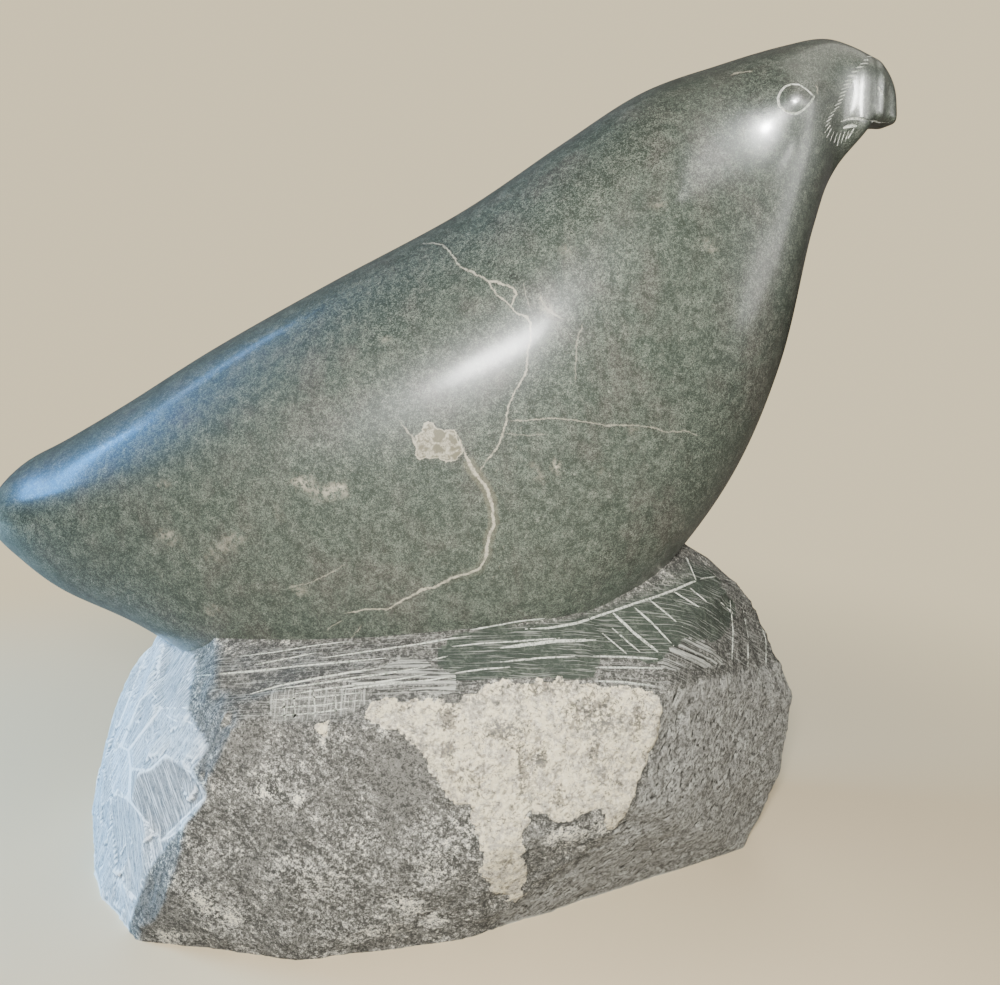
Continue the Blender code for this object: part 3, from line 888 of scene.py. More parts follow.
class NodeWriter:
    """Puts nodes into a tree, one call for each."""

    prefix = ""

    def __init__(self, tree: bpy.types.NodeTree) -> None:
        """Takes the tree that the nodes go into."""
        self.tree = tree

    def feed(self, socket: Socket, value: object) -> None:
        """Gives a socket a value or a link."""
        if isinstance(value, Socket):
            self.tree.links.new(value, socket)
        else:
            socket.default_value = value

    def add(self, kind: str, inputs: dict | None = None, **settings: object) -> bpy.types.Node:
        """Adds a node.

        Args:
            kind: The node's type, without the prefix.
            inputs: A value or a link for each input, by name or number.
            **settings: The node's own settings.

        Returns:
            The node.
        """
        node = self.tree.nodes.new(self.prefix + kind)
        for name, value in settings.items():
            setattr(node, name, value)
        for key, value in (inputs or {}).items():
            self.feed(node.inputs[key], value)
        return node


class GrowthTree(NodeWriter):
    """A Geometry Nodes tree that makes solids from a guide mesh, built socket by socket."""

    def __init__(self, name: str) -> None:
        """Starts with the guide's input and the solids' output."""
        super().__init__(bpy.data.node_groups.new(name, "GeometryNodeTree"))
        self.tree.interface.new_socket("Guide", in_out="INPUT", socket_type="NodeSocketGeometry")
        self.tree.interface.new_socket("Solids", in_out="OUTPUT", socket_type="NodeSocketGeometry")
        self.entry = self.tree.nodes.new("NodeGroupInput")

    def asks(self, name: str, kind: str) -> Socket:
        """Adds a named input and returns the socket that carries it."""
        self.tree.interface.new_socket(name, in_out="INPUT", socket_type="NodeSocket" + kind)
        return self.entry.outputs[name]

    def stored(self, name: str, kind: str = "FLOAT") -> Socket:
        """The value that the guide stores under a name."""
        node = self.add("GeometryNodeInputNamedAttribute", {"Name": name}, data_type=kind)
        return node.outputs["Attribute"]

    def end(self, solids: Socket) -> bpy.types.NodeTree:
        """Makes the solids real, gives them their material and closes the tree.

        Args:
            solids: The socket that carries them.

        Returns:
            The finished tree.
        """
        material = self.asks("Material", "Material")
        real = self.add("GeometryNodeRealizeInstances", {"Geometry": solids}).outputs[0]
        dressed = self.add("GeometryNodeSetMaterial", {"Geometry": real, "Material": material}).outputs[0]
        self.add("NodeGroupOutput", {0: dressed})
        return self.tree


def bar_tree() -> bpy.types.NodeTree:
    """A tree that lays a round bar along each line of the guide, as thick as the guide says.

    Returns:
        The tree, with the inputs Guide, Sides and Material.
    """
    growth = GrowthTree("groove bars")
    sides = growth.asks("Sides", "Int")
    path = growth.add("GeometryNodeMeshToCurve", {"Mesh": growth.entry.outputs["Guide"]}).outputs[0]
    section = growth.add("GeometryNodeCurvePrimitiveCircle", {"Resolution": sides, "Radius": 1.0}).outputs[0]
    scale = growth.stored("bar_radius")
    inputs = {"Curve": path, "Profile Curve": section, "Scale": scale, "Fill Caps": True}
    return growth.end(growth.add("GeometryNodeCurveToMesh", inputs).outputs[0])


def spindle_tree() -> bpy.types.NodeTree:
    """A tree that puts a pointed spindle on each point of the guide, lying along the guide's direction.

    Returns:
        The tree, with the inputs Guide, Length, Width, Depth, Unevenness, Seed and Material.
    """
    growth = GrowthTree("stroke spindles")
    length, width, depth = (growth.asks(name, "Float") for name in ("Length", "Width", "Depth"))
    uneven, seed = growth.asks("Unevenness", "Float"), growth.asks("Seed", "Int")
    low = growth.add("ShaderNodeMath", {0: 1.0, 1: uneven}, operation="SUBTRACT").outputs[0]
    high = growth.add("ShaderNodeMath", {0: 1.0, 1: uneven}, operation="ADD").outputs[0]
    draw = {2: low, 3: high, "Seed": seed}
    chance = growth.add("FunctionNodeRandomValue", draw, data_type="FLOAT").outputs[1]
    reach = growth.add("ShaderNodeMath", {0: length, 1: chance}, operation="MULTIPLY").outputs[0]
    size = growth.add("ShaderNodeCombineXYZ", {0: reach, 1: width, 2: depth}).outputs[0]
    along, outward = (growth.stored(name, "FLOAT_VECTOR") for name in ("along", "outward"))
    axes = {"Primary Axis": along, "Secondary Axis": outward}
    turn = growth.add("FunctionNodeAxesToRotation", axes, primary_axis="X", secondary_axis="Z").outputs[0]
    spindle = growth.add("GeometryNodeMeshUVSphere", {"Segments": 10, "Rings": 6, "Radius": 0.5}).outputs[0]
    inputs = {"Points": growth.entry.outputs["Guide"], "Instance": spindle, "Rotation": turn, "Scale": size}
    return growth.end(growth.add("GeometryNodeInstanceOnPoints", inputs).outputs[0])


def grow(name: str, guide: bpy.types.Mesh, tree: bpy.types.NodeTree, values: dict) -> Object:
    """Runs a tree on a guide and keeps what it makes as a plain mesh of scratched stone.

    Args:
        name: The new object's name.
        guide: The guide's mesh, with what it stores.
        tree: The tree.
        values: A value for each of the tree's named inputs but Guide and Material.

    Returns:
        The solids, as one object.
    """
    made = link(name, guide)
    modifier = made.modifiers.new("grow", "NODES")
    modifier.node_group = tree
    values = {**values, "Material": bpy.data.materials[Finish.SCRATCHED.material_name()]}
    for item in tree.interface.items_tree:
        if item.in_out == "INPUT" and item.name in values:
            modifier[item.identifier] = values[item.name]
    depsgraph = bpy.context.evaluated_depsgraph_get()
    mesh = bpy.data.meshes.new_from_object(made.evaluated_get(depsgraph))
    made.modifiers.clear()
    coat(mesh, Finish.SCRATCHED)
    made.data = mesh
    face_outwards(made)
    return made


def store(mesh: bpy.types.Mesh, name: str, kind: str, values: list) -> None:
    """Stores a number or a vector for each vertex of a mesh."""
    key = "vector" if kind == "FLOAT_VECTOR" else "value"
    mesh.attributes.new(name, kind, "POINT").data.foreach_set(key, np.ravel(values))


@dataclass
class Graver:
    """The tool that cuts fine lines: it finds their paths on a surface and makes the solids to cut with."""

    photo: PhotoCamera = field(default_factory=PhotoCamera)
    step: float = 4.0
    closed_step: float = 0.5
    fewest: int = 3
    sides: int = 7
    taper: float = 0.35
    tapers_over: float = 4.0
    stroke_length: float = 3.6 * MM
    stroke_width: float = 0.38 * MM
    stroke_depth: float = 0.80 * MM
    stroke_sunk: float = 0.24 * MM
    uneven: float = 0.28

    def path(self, surface: BVHTree, groove: Groove) -> list[tuple[Vector, Vector]]:
        """The places that a groove follows on a surface.

        Args:
            surface: The surface.
            groove: The groove.

        Returns:
            Each place and the surface's direction there, evened out along the groove.
        """
        corners = np.array(groove.line + (groove.line[:1] if groove.closed else ()), dtype=float)
        lengths = np.concatenate([[0.0], np.cumsum(np.linalg.norm(np.diff(corners, axis=0), axis=1))])
        step = self.step * (self.closed_step if groove.closed else 1.0)
        count = max(self.fewest, int(lengths[-1] / step))
        stops = np.linspace(0, lengths[-1], count + 1)
        if groove.closed:
            stops = stops[:-1]
        found = []
        for stop in stops:
            pixel = (np.interp(stop, lengths, corners[:, 0]), np.interp(stop, lengths, corners[:, 1]))
            hit = self.photo.on(surface, pixel)
            if hit is not None:
                found.append(hit)
        last = len(found) - 1
        even = []
        for index in range(len(found)):
            if groove.closed:
                near = [found[(index + shift) % len(found)] for shift in (-1, 0, 1)]
            else:
                near = [found[min(max(index + shift, 0), last)] for shift in (-2, -1, 0, 1, 2)]
            direction = sum((hit[1] for hit in near), Vector()).normalized()
            middle = sum((hit[0] for hit in near), Vector()) / len(near)
            place = found[index][0]
            even.append((place + direction * (middle - place).dot(direction), direction))
        return even

    def bars(self, name: str, paths: list) -> Object:
        """The bars that cut grooves.

        Args:
            name: The new object's name.
            paths: For each groove, the groove and the places that it follows.

        Returns:
            The bars, as one object.
        """
        points, edges, radii = [], [], []
        for groove, path in paths:
            width, depth = groove.width * MM, groove.depth * MM
            full = (width**2 / 4 + depth**2) / (2 * depth)
            first = len(points)
            for index, (place, outward) in enumerate(path):
                share = 1.0
                if not groove.closed:
                    from_end = min(index, len(path) - 1 - index) / max(1, len(path) - 1)
                    share = min(1.0, self.taper + from_end * self.tapers_over)
                points.append(place + outward * share * (full - depth))
                radii.append(full * share)
            edges += [(index, index + 1) for index in range(first, len(points) - 1)]
            if groove.closed:
                edges.append((len(points) - 1, first))
        guide = bpy.data.meshes.new(name)
        guide.from_pydata(points, edges, [])
        store(guide, "bar_radius", "FLOAT", radii)
        return grow(name, guide, bar_tree(), {"Sides": self.sides})

    def spindles(self, name: str, strokes: list) -> Object:
        """The spindles that cut short strokes.

        Args:
            name: The new object's name.
            strokes: For each stroke, its middle, the surface's direction there and the way it runs.

        Returns:
            The spindles, as one object.
        """
        guide = bpy.data.meshes.new(name)
        raised = self.stroke_depth / 2 - self.stroke_sunk
        guide.from_pydata([place + outward * raised for place, outward, _ in strokes], [], [])
        store(guide, "along", "FLOAT_VECTOR", [tuple(along) for _, _, along in strokes])
        store(guide, "outward", "FLOAT_VECTOR", [tuple(outward) for _, outward, _ in strokes])
        values = {
            "Length": self.stroke_length,
            "Width": self.stroke_width,
            "Depth": self.stroke_depth,
            "Unevenness": self.uneven,
            "Seed": SEED,
        }
        return grow(name, guide, spindle_tree(), values)


def mirrored(vector: Vector) -> Vector:
    """The same place or direction on the carving's far side."""
    return Vector((vector.x, -vector.y, vector.z))


@dataclass
class Block:
    """The rough block: natural faces, dressed flats and the foot, spread on a grid of rays from its heart."""

    length: float = 0.228
    depth: float = 0.130
    height: float = 0.071
    middle_x: float = 0.004
    heart: Triple = (0.004, 0.0, 0.034)
    spread: Triple = (0.114, 0.065, 0.045)
    front_columns: int = 372
    back_columns: int = 92
    face_rows: int = 92
    top_rows: int = 7
    foot_rows: int = 7
    top_angle: float = 58.0
    rounding: int = 2
    coarse: Pair = (22.0 * MM, 1.3 * MM)
    middling: Pair = (9.0 * MM, 0.6 * MM)
    fine: Pair = (2.6 * MM, 0.30 * MM)
    finest: Pair = (1.4 * MM, 0.20 * MM)
    chip_size: float = 6.0 * MM
    chip_lean: float = 0.16
    rind_rise: float = 0.9 * MM
    crust: Pair = (5.0 * MM, 0.35 * MM)
    crust_pits: Pair = (2.2 * MM, 0.50 * MM)
    rind_evens: float = 0.75
    broken_large: Pair = (0.8, 0.9)
    broken_small: Pair = (0.3, 1.1)
    front_turns: Pair = (-205.0, 15.0)
    back_turns: Pair = (15.0, 155.0)
    foot_tries: tuple[float, float, int] = (-75.0, 0.0, 300)
    foot_edge: float = 0.05 * MM
    above_foot: float = 0.02 * MM
    least_facing: float = 0.02
    beyond: float = 9.0
    ledge_waves: Pair = (9.0 * MM, 0.35 * MM)
    ledge_grain: Pair = (2.4 * MM, 0.12 * MM)
    flat_chips: Pair = (10.5 * MM, 0.16)
    flat_splinters: Pair = (4.5 * MM, 0.07)
    bulge: Triple = (-0.118, -0.010, 0.026)
    bulge_rise: float = 2.2 * MM
    bulge_reach: float = 14.0 * MM
    flat_bevel: float = 7.0
    flat_change: float = 1.3 * MM
    flat_grain: Pair = (3.0 * MM, 0.10 * MM)
    flat_least_facing: float = 0.2
    flat_fewest: int = 6
    flat_edge_reach: float = 2.0
    plain_slant: float = 0.3
    plain_tone: float = 0.6
    edge_waves: Pair = (4.0 * MM, 6.0)
    edge_grain: Pair = (1.8 * MM, 3.0)
    shown_before: float = 0.012
    turned_away: float = -0.15
    photo: PhotoCamera = field(default_factory=PhotoCamera)

    def place(self, shares: Triple) -> Array:
        """A place on the block, from shares of its length, its depth and the seat's height."""
        x, y, z = shares
        return np.array([self.middle_x + x * self.length, y * self.depth, z * self.height])

    def natural_planes(self) -> list[tuple[Array, Array]]:
        """The faces of the hull round the natural corners.

        Returns:
            A point and the outward direction of each.
        """
        bm = bmesh.new()
        for corner in NATURAL_CORNERS:
            bm.verts.new(self.place(corner))
        bmesh.ops.convex_hull(bm, input=bm.verts)
        bmesh.ops.recalc_face_normals(bm, faces=bm.faces)
        planes = []
        heart = Vector(self.heart)
        for face in bm.faces:
            outward = face.normal.copy()
            if outward.dot(face.calc_center_median() - heart) < 0:
                outward.negate()
            planes.append((np.array(face.calc_center_median()), np.array(outward)))
        bm.free()
        return planes

    def reach(self, rays: Array, planes: list[tuple[Array, Array]]) -> Array:
        """How far rays from the heart go before each plane.

        Args:
            rays: One row of x, y and z for each ray's direction.
            planes: A point and the outward direction of each plane.

        Returns:
            One row for each ray, with its reach to each plane.
        """
        heart = np.array(self.heart)
        columns = []
        for point, outward in planes:
            facing = rays @ outward
            free = facing > self.least_facing
            found = ((point - heart) @ outward) / np.where(free, facing, 1.0)
            columns.append(np.where(free, found, self.beyond))
        return np.stack(columns, axis=1)

    def rays(self, turn: Array, rise: Array) -> Array:
        """Unit vectors from the heart, from angles seen from above and above the level."""
        a, b, c = self.spread
        level = np.cos(rise)
        found = np.stack([a * level * np.cos(turn), b * level * np.sin(turn), c * np.sin(rise)], axis=-1)
        return found / np.linalg.norm(found, axis=-1, keepdims=True)

    def turns(self) -> Array:
        """The columns' angles seen from above, closest on the side in the photograph."""
        front = np.linspace(*np.radians(self.front_turns), self.front_columns, endpoint=False)
        back = np.linspace(*np.radians(self.back_turns), self.back_columns, endpoint=False)
        return np.concatenate([front, back])

    def foot_rise(self, turns: Array, planes: list) -> Array:
        """The angle at which each column comes to the foot's edge.

        Args:
            turns: The columns' angles seen from above.
            planes: The natural faces.

        Returns:
            An angle below the level for each column.
        """
        tries = np.radians(np.linspace(*self.foot_tries))
        found = np.empty(len(turns))
        for index, turn in enumerate(turns):
            rays = self.rays(np.full(len(tries), turn), tries)
            reach = self.reach(rays, planes).min(axis=1)
            heights = self.heart[2] + reach * rays[:, 2]
            found[index] = tries[np.argmax(heights > self.foot_edge)]
        return found

    def soften(self, reach: Array, passes: int) -> Array:
        """Rounds the edges between the natural faces, leaving the foot's row and the top as they are.

        Args:
            reach: Rows by columns of how far the rays go.
            passes: How often neighbours are averaged.

        Returns:
            The softened array.
        """
        for _ in range(passes):
            around = (np.roll(reach, 1, axis=1) + np.roll(reach, -1, axis=1)) / 2
            reach = (reach + around) / 2
            reach[1:-1] = (reach[:-2] + 2 * reach[1:-1] + reach[2:]) / 4
        return reach

    def relief(self, points: Array, region: dict[str, Array]) -> Array:
        """How far the natural stone stands out of its smooth shape.

        Args:
            points: One row of x, y and z for each point.
            region: How much each point belongs to the rind and to the fresh fracture.

        Returns:
            The extra reach at each point.
        """
        shape = waves(points, self.coarse, 0)
        shape += waves(points, self.middling, 1)
        weathered = chips(points, self.chip_size, 2) * self.chip_lean
        weathered += waves(points, self.fine, 3)
        weathered += waves(points, self.finest, 4)
        (large, large_lean), (small, small_lean) = self.broken_large, self.broken_small
        broken = chips(points, self.chip_size * large, 5) * self.chip_lean * large_lean
        broken += chips(points, self.chip_size * small, 6) * self.chip_lean * small_lean
        broken += waves(points, self.finest, 7)
        crust = waves(points, self.crust, 8) - np.abs(waves(points, self.crust_pits, 9))
        fracture, rind = region["fracture"], region["rind"]
        shape += (weathered * (1 - fracture) + broken * fracture) * (1 - self.rind_evens * rind)
        return shape + rind * (self.rind_rise + crust)

    def regions(self, points: Array) -> dict[str, Array]:
        """How much each point belongs to the regions that the photograph shows on the block's front.

        Args:
            points: One row of x, y and z for each point.

        Returns:
            For each region, a share from 0 to 1 for each point.
        """
        pixels, _ = self.photo.pixels(points)
        wobble = waves(points, self.edge_waves, 20) + waves(points, self.edge_grain, 21)

        def within(outline: tuple, wobbles: float, low: float, high: float) -> Array:
            """A soft region inside an outline, for its edge's wobble and where it starts and is full."""
            return smooth_step(inside_distance(pixels, outline) + wobble * wobbles, low, high)

        near = points[:, 1] < self.shown_before
        rind = within(RIND, 1.0, -1.5, 2.0) * near
        fracture = within(FRACTURE, 1.0, -5, 5)
        chiselled = within(CHISELLED, 0.4, -1.5, 1.5)
        ledge = within(LEDGE, 0.6, -2, 2)
        smooth = within(SMOOTH_LEDGE, 0.5, -2, 2)
        patches = (RASPED_PATCH, HATCHED_PATCH, CHIP, CREAM_SPOT)
        rasped, hatched, chip, cream = (within(outline, 0.4, -2, 2) * near for outline in patches)
        broken = within(BROKEN_STRIP, 0.6, -3, 3) * near
        back_ledge = smooth_step(points[:, 2], 0.064, 0.070) * ~near * (points[:, 0] < 0.09)
        right_back = smooth_step(points[:, 0], 0.07, 0.09) * ~near
        left_back = smooth_step(-points[:, 0], 0.085, 0.095) * smooth_step(-points[:, 1], -0.045, -0.035)
        return {
            "rind": np.maximum(rind, cream),
            "fracture": np.where(near, fracture, right_back) * (1 - ledge * near),
            "chiselled": np.where(near, chiselled, left_back),
            "ledge": np.where(near, ledge, back_ledge),
            "smooth": smooth * near,
            "rasped": np.maximum(rasped, chip),
            "hatched": hatched,
            "broken": broken,
        }

    def build(self) -> Object:
        """Makes the block.

        Returns:
            The closed solid.
        """
        turns = self.turns()
        natural = self.natural_planes()
        low = self.foot_rise(turns, natural)[None, :]
        high = math.radians(self.top_angle)
        share = np.linspace(0, 1, self.face_rows)[:, None]
        face = low + (high - low) * share
        top = np.linspace(high, math.pi / 2, self.top_rows + 2)[1:-1, None] + 0 * low
        rise = np.concatenate([face, top])
        turn = np.broadcast_to(turns[None, :], rise.shape)
        rays = self.rays(turn, rise).reshape(-1, 3)
        reach = self.reach(rays, natural).min(axis=1).reshape(rise.shape)
        reach = self.soften(reach, self.rounding).reshape(-1)
        heart = np.array(self.heart)
        points = heart + rays * reach[:, None]
        region = self.regions(points)
        reach = reach + self.relief(points, region)
        reach = self.dress(points, rays, reach)
        reach = self.flatten(rays, reach)
        points = np.round(heart + rays * reach[:, None], PLACE_DIGITS)
        columns = len(turns)
        self.stand(points, columns)
        return self.close(points, columns)

    def dress(self, points: Array, rays: Array, reach: Array) -> Array:
        """Cuts the chisel's and rasp's flats into the natural stone.

        Args:
            points: The natural surface's points.
            rays: The direction of each point's ray.
            reach: How far each ray goes in the natural stone.

        Returns:
            How far each ray goes in the dressed stone.
        """
        ledges = (*FRONT_LEDGES, *BACK_LEDGES, *BREAST_SLOPES)
        ledge, flats = (
            self.reach(rays, [(self.place(cut.through), cut.outward()) for cut in cuts]).min(axis=1)
            for cuts in (ledges, LEFT_FLATS)
        )
        ledge = ledge + waves(points, self.ledge_waves, 10) + waves(points, self.ledge_grain, 11)
        for (size, lean), seed in ((self.flat_chips, 12), (self.flat_splinters, 13)):
            flats = flats + chips(points, size, seed) * lean
        away = np.linalg.norm(points - np.array(self.bulge), axis=1) / self.bulge_reach
        flats = flats + self.bulge_rise * np.exp(-(away**2))
        return np.minimum(np.minimum(reach, ledge), flats)

    def shown(self, points: Array) -> Array:
        """Which of the block's points are on its near side, seen from the photograph's camera."""
        away = points - np.array(self.heart)
        sight = np.array(self.photo.place) - points
        return (away / np.array(self.spread) ** 2 * sight).sum(axis=1) > self.turned_away

    def flatten(self, rays: Array, reach: Array) -> Array:
        """Cuts each stroke's flat, fitted to the stone inside its outline and turned a little.

        Args:
            rays: The direction of each point's ray.
            reach: How far each ray goes.

        Returns:
            How far each ray goes with the flats cut.
        """
        heart = np.array(self.heart)
        points = heart + rays * reach[:, None]
        pixels, _ = self.photo.pixels(points)
        shown = self.shown(points)
        for flat in (*CHISEL_FLATS, *RASP_FLATS):
            cover = inside_distance(pixels, flat.outline)
            inside = (cover > 0) & shown
            if inside.sum() < self.flat_fewest:
                continue
            centre = points[inside].mean(axis=0)
            outward = np.linalg.svd(points[inside] - centre)[2][2]
            outward *= np.sign(outward @ (centre - heart))
            heading = math.atan2(outward[1], outward[0]) + math.radians(flat.turned)
            lift = math.asin(outward[2]) + math.radians(flat.tipped)
            level = math.cos(lift)
            outward = np.array([math.cos(heading) * level, math.sin(heading) * level, math.sin(lift)])
            facing = np.maximum(rays @ outward, self.flat_least_facing)
            cut = ((centre - heart) @ outward - flat.sunk) / facing
            cover = smooth_step(cover, -self.flat_bevel, self.flat_bevel) * shown
            change = np.clip(cut - reach, -self.flat_change, self.flat_change / 2)
            reach = reach + cover * (change + waves(points, self.flat_grain, 30))
        return reach

    def flat_marks(self, points: Array) -> dict[str, Array]:
        """Where the strokes' flats end and which way their scratches run.

        Args:
            points: One row of x, y and z for each point.

        Returns:
            How far each point is from the nearest flat's edge, in millimetres up to a limit, and the flats'
            slants and tones.
        """
        pixels, ahead = self.photo.pixels(points)
        shown = self.shown(points)
        edge = np.full(len(points), self.flat_edge_reach)
        slant = np.full(len(points), self.plain_slant)
        tone = np.full(len(points), self.plain_tone)
        for flat in CHISEL_FLATS:
            inside = inside_distance(pixels, flat.outline)
            away = np.abs(inside) * ahead / self.photo.focal / MM
            edge = np.where(shown, np.minimum(edge, away), edge)
            slant = np.where(shown & (inside > 0), flat.slant, slant)
            tone = np.where(shown & (inside > 0), flat.tone, tone)
        return {"flat_edge": edge, "flat_slant": slant, "flat_tone": tone}

    def stand(self, points: Array, columns: int) -> None:
        """Sets the lowest row of points on the foot's plane and keeps the rest above it."""
        points[:, 2] = np.maximum(points[:, 2], self.above_foot)
        points[:columns, 2] = 0.0

    def close(self, points: Array, columns: int) -> Object:
        """Closes the grid with the foot below and the pole above.

        Args:
            points: The grid's points, from the lowest row up.
            columns: How many points there are in a row.

        Returns:
            The closed solid.
        """
        edge = points[:columns]
        centre = np.array([self.heart[0], self.heart[1], 0.0])
        shares = np.linspace(0, 1, self.foot_rows + 1)[1:]
        foot = np.concatenate([centre + (edge - centre) * share for share in shares[:-1]])
        top = points[-columns:].mean(axis=0)
        return closed_solid("block", np.concatenate([foot, points]), columns, [centre, top], Finish.ROUGH)


class NodeBench(NodeWriter):
    """Puts shader nodes into a material or a world, one call for each."""

    prefix = "ShaderNode"

    def __init__(self, tree: bpy.types.NodeTree) -> None:
        """Starts with an empty tree."""
        super().__init__(tree)
        tree.nodes.clear()

    def math(self, operation: str, *values: object) -> Socket:
        """The result of a Math node."""
        return self.add("Math", dict(enumerate(values)), operation=operation).outputs[0]

    def times(self, one: object, other: object) -> Socket:
        """The product of two values."""
        return self.math("MULTIPLY", one, other)

    def plus(self, one: object, other: object) -> Socket:
        """The sum of two values."""
        return self.math("ADD", one, other)

    def minus(self, one: object, other: object) -> Socket:
        """The first value less the second."""
        return self.math("SUBTRACT", one, other)

    def off(self, value: object, middle: object) -> Socket:
        """How far a value is from a middle one, either way."""
        return self.math("ABSOLUTE", self.minus(value, middle))

    def sum_of(self, parts: tuple) -> Socket:
        """The sum of values, each times its own share."""
        total = 0.0
        for part, share in parts:
            total = self.plus(total, self.times(part, share))
        return total

    def attribute(self, name: str) -> Socket:
        """The value of one of the piece's attributes."""
        return self.add("Attribute", attribute_name=name, attribute_type="GEOMETRY").outputs["Fac"]

    def step(self, value: object, low: object, high: object) -> Socket:
        """A soft step from 0 at the low value to 1 at the high one."""
        inputs = {"Value": value, "From Min": low, "From Max": high}
        node = self.add("MapRange", inputs, interpolation_type="SMOOTHSTEP", clamp=True)
        return node.outputs["Result"]

    def mixed(self, share: object, low: float, high: float) -> Socket:
        """A number that goes from the low value to the high one with the share."""
        inputs = {"Value": share, "To Min": low, "To Max": high}
        return self.add("MapRange", inputs, clamp=True).outputs["Result"]

    def mix(self, share: object, low: object, high: object) -> Socket:
        """A mix of two colours."""
        node = self.add("Mix", data_type="RGBA", blend_type="MIX")
        for socket, value in zip((node.inputs[0], node.inputs[6], node.inputs[7]), (share, low, high)):
            self.feed(socket, value)
        return node.outputs[2]

    def paint(self, under: object, over: object, *shares: object) -> Socket:
        """A colour laid over another, as much as the product of the shares says."""
        cover = shares[0]
        for share in shares[1:]:
            cover = self.times(cover, share)
        return self.mix(cover, under, over)

    def noise(
        self, where: object, scale: float, detail: float = 2.0, rough: float = 0.5, twist: float = 0.0
    ) -> Socket:
        """The value of a Noise Texture, around 0.5."""
        inputs = {"Vector": where, "Scale": scale, "Detail": detail, "Roughness": rough, "Distortion": twist}
        return self.add("TexNoise", inputs).outputs["Fac"]

    def stretched(self, turn: tuple[float, ...], scale: tuple[float, ...]) -> Socket:
        """Object coordinates turned by degrees and then stretched."""
        coordinates = self.add("TexCoord").outputs["Object"]
        turned = self.add("Mapping", {"Vector": coordinates, "Rotation": [math.radians(a) for a in turn]})
        return self.add("Mapping", {"Vector": turned.outputs[0], "Scale": scale}).outputs[0]

    def ragged(self, name: str, noise_value: object) -> Socket:
        """How far each place belongs to one of the piece's regions, whose edge noise breaks up."""
        shift = self.times(self.minus(noise_value, 0.5), 1.1)
        return self.step(self.plus(self.attribute(name), shift), 0.42, 0.55)

    def warped(self, where: object, reach: float, scale: float) -> Socket:
        """Coordinates that are pushed about by noise, by up to the reach."""
        push = self.add("TexNoise", {"Vector": where, "Scale": scale, "Detail": 2.0}).outputs["Color"]
        push = self.add("VectorMath", {0: push, 1: (0.5, 0.5, 0.5)}, operation="SUBTRACT").outputs[0]
        push = self.add("VectorMath", {0: push, "Scale": reach * 2}, operation="SCALE").outputs[0]
        return self.add("VectorMath", {0: where, 1: push}, operation="ADD").outputs[0]

    def scratches(self, along: object, across: object, scale: float, low: float, high: float) -> object:
        """How much fine scratches show that run one way, from a noise value where they start to show."""
        where = self.add("CombineXYZ", {0: self.times(along, 0.055), 1: across}).outputs[0]
        return self.step(self.noise(where, scale, 3, 0.65), low, high)

    def slanted_strokes(self, level: object, height: object, angle: float) -> object:
        """How much the scratches show that a chisel's edge leaves on a flat.

        Args:
            level: The coordinate along the level.
            height: The coordinate upwards.
            angle: How steeply they run, in degrees above the level.

        Returns:
            A share from 0 to 1.
        """
        sine, cosine = math.sin(math.radians(angle)), math.cos(math.radians(angle))
        along = self.plus(self.times(level, cosine), self.times(height, sine))
        across = self.minus(self.times(height, cosine), self.times(level, sine))
        return self.scratches(along, across, 1700, 0.50, 0.59)

    def bump(self, height: object, distance: float, strength: float) -> Socket:
        """The normal of a Bump node."""
        inputs = {"Height": height, "Distance": distance, "Strength": strength}
        return self.add("Bump", inputs).outputs[0]

    def surface(self, colour: object, roughness: object, ior: float, normal: object) -> bpy.types.Node:
        """The stone's shader, joined to the material's output."""
        inputs = {"Base Color": colour, "Roughness": roughness, "IOR": ior, "Normal": normal}
        shader = self.add("BsdfPrincipled", inputs)
        self.add("OutputMaterial", {"Surface": shader.outputs[0]})
        return shader


def new_material(name: str) -> tuple[bpy.types.Material, NodeBench]:
    """Makes a material, and the bench to put its nodes on."""
    material = bpy.data.materials.new(name)
    material.use_nodes = True
    return material, NodeBench(material.node_tree)


@dataclass(frozen=True)
class StoneColours:
    """The colours of the stone."""

    green: tuple = (0.057, 0.072, 0.059, 1.0)
    deep_green: tuple = (0.040, 0.056, 0.045, 1.0)
    brown: tuple = (0.075, 0.074, 0.065, 1.0)
    dark: tuple = (0.024, 0.030, 0.022, 1.0)
    black: tuple = (0.008, 0.009, 0.007, 1.0)
    light: tuple = (0.178, 0.208, 0.164, 1.0)
    fibre: tuple = (0.330, 0.350, 0.285, 1.0)
    vein: tuple = (0.440, 0.415, 0.320, 1.0)
    tan: tuple = (0.165, 0.152, 0.102, 1.0)
    weathered: tuple = (0.185, 0.183, 0.165, 1.0)
    weathered_dark: tuple = (0.052, 0.053, 0.048, 1.0)
    weathered_light_and_highlight: tuple = (0.470, 0.470, 0.425, 1.0)
    pit_and_hollow_shade: tuple = (0.020, 0.020, 0.018, 1.0)
    silver: tuple = (0.460, 0.463, 0.430, 1.0)
    silver_dark: tuple = (0.085, 0.085, 0.078, 1.0)
    ledge_green: tuple = (0.042, 0.054, 0.042, 1.0)
    rind: tuple = (0.780, 0.705, 0.500, 1.0)
    rind_dull: tuple = (0.460, 0.425, 0.345, 1.0)
    rind_pale: tuple = (0.950, 0.900, 0.710, 1.0)
    rind_soil_and_shade: tuple = (0.200, 0.180, 0.140, 1.0)
    cut: tuple = (0.540, 0.620, 0.670, 1.0)
    cut_dull_and_shaded: tuple = (0.255, 0.255, 0.245, 1.0)
    cut_dark: tuple = (0.085, 0.100, 0.108, 1.0)
    edge: tuple = (0.950, 0.960, 0.950, 1.0)
    powder_and_glint: tuple = (0.620, 0.640, 0.580, 1.0)


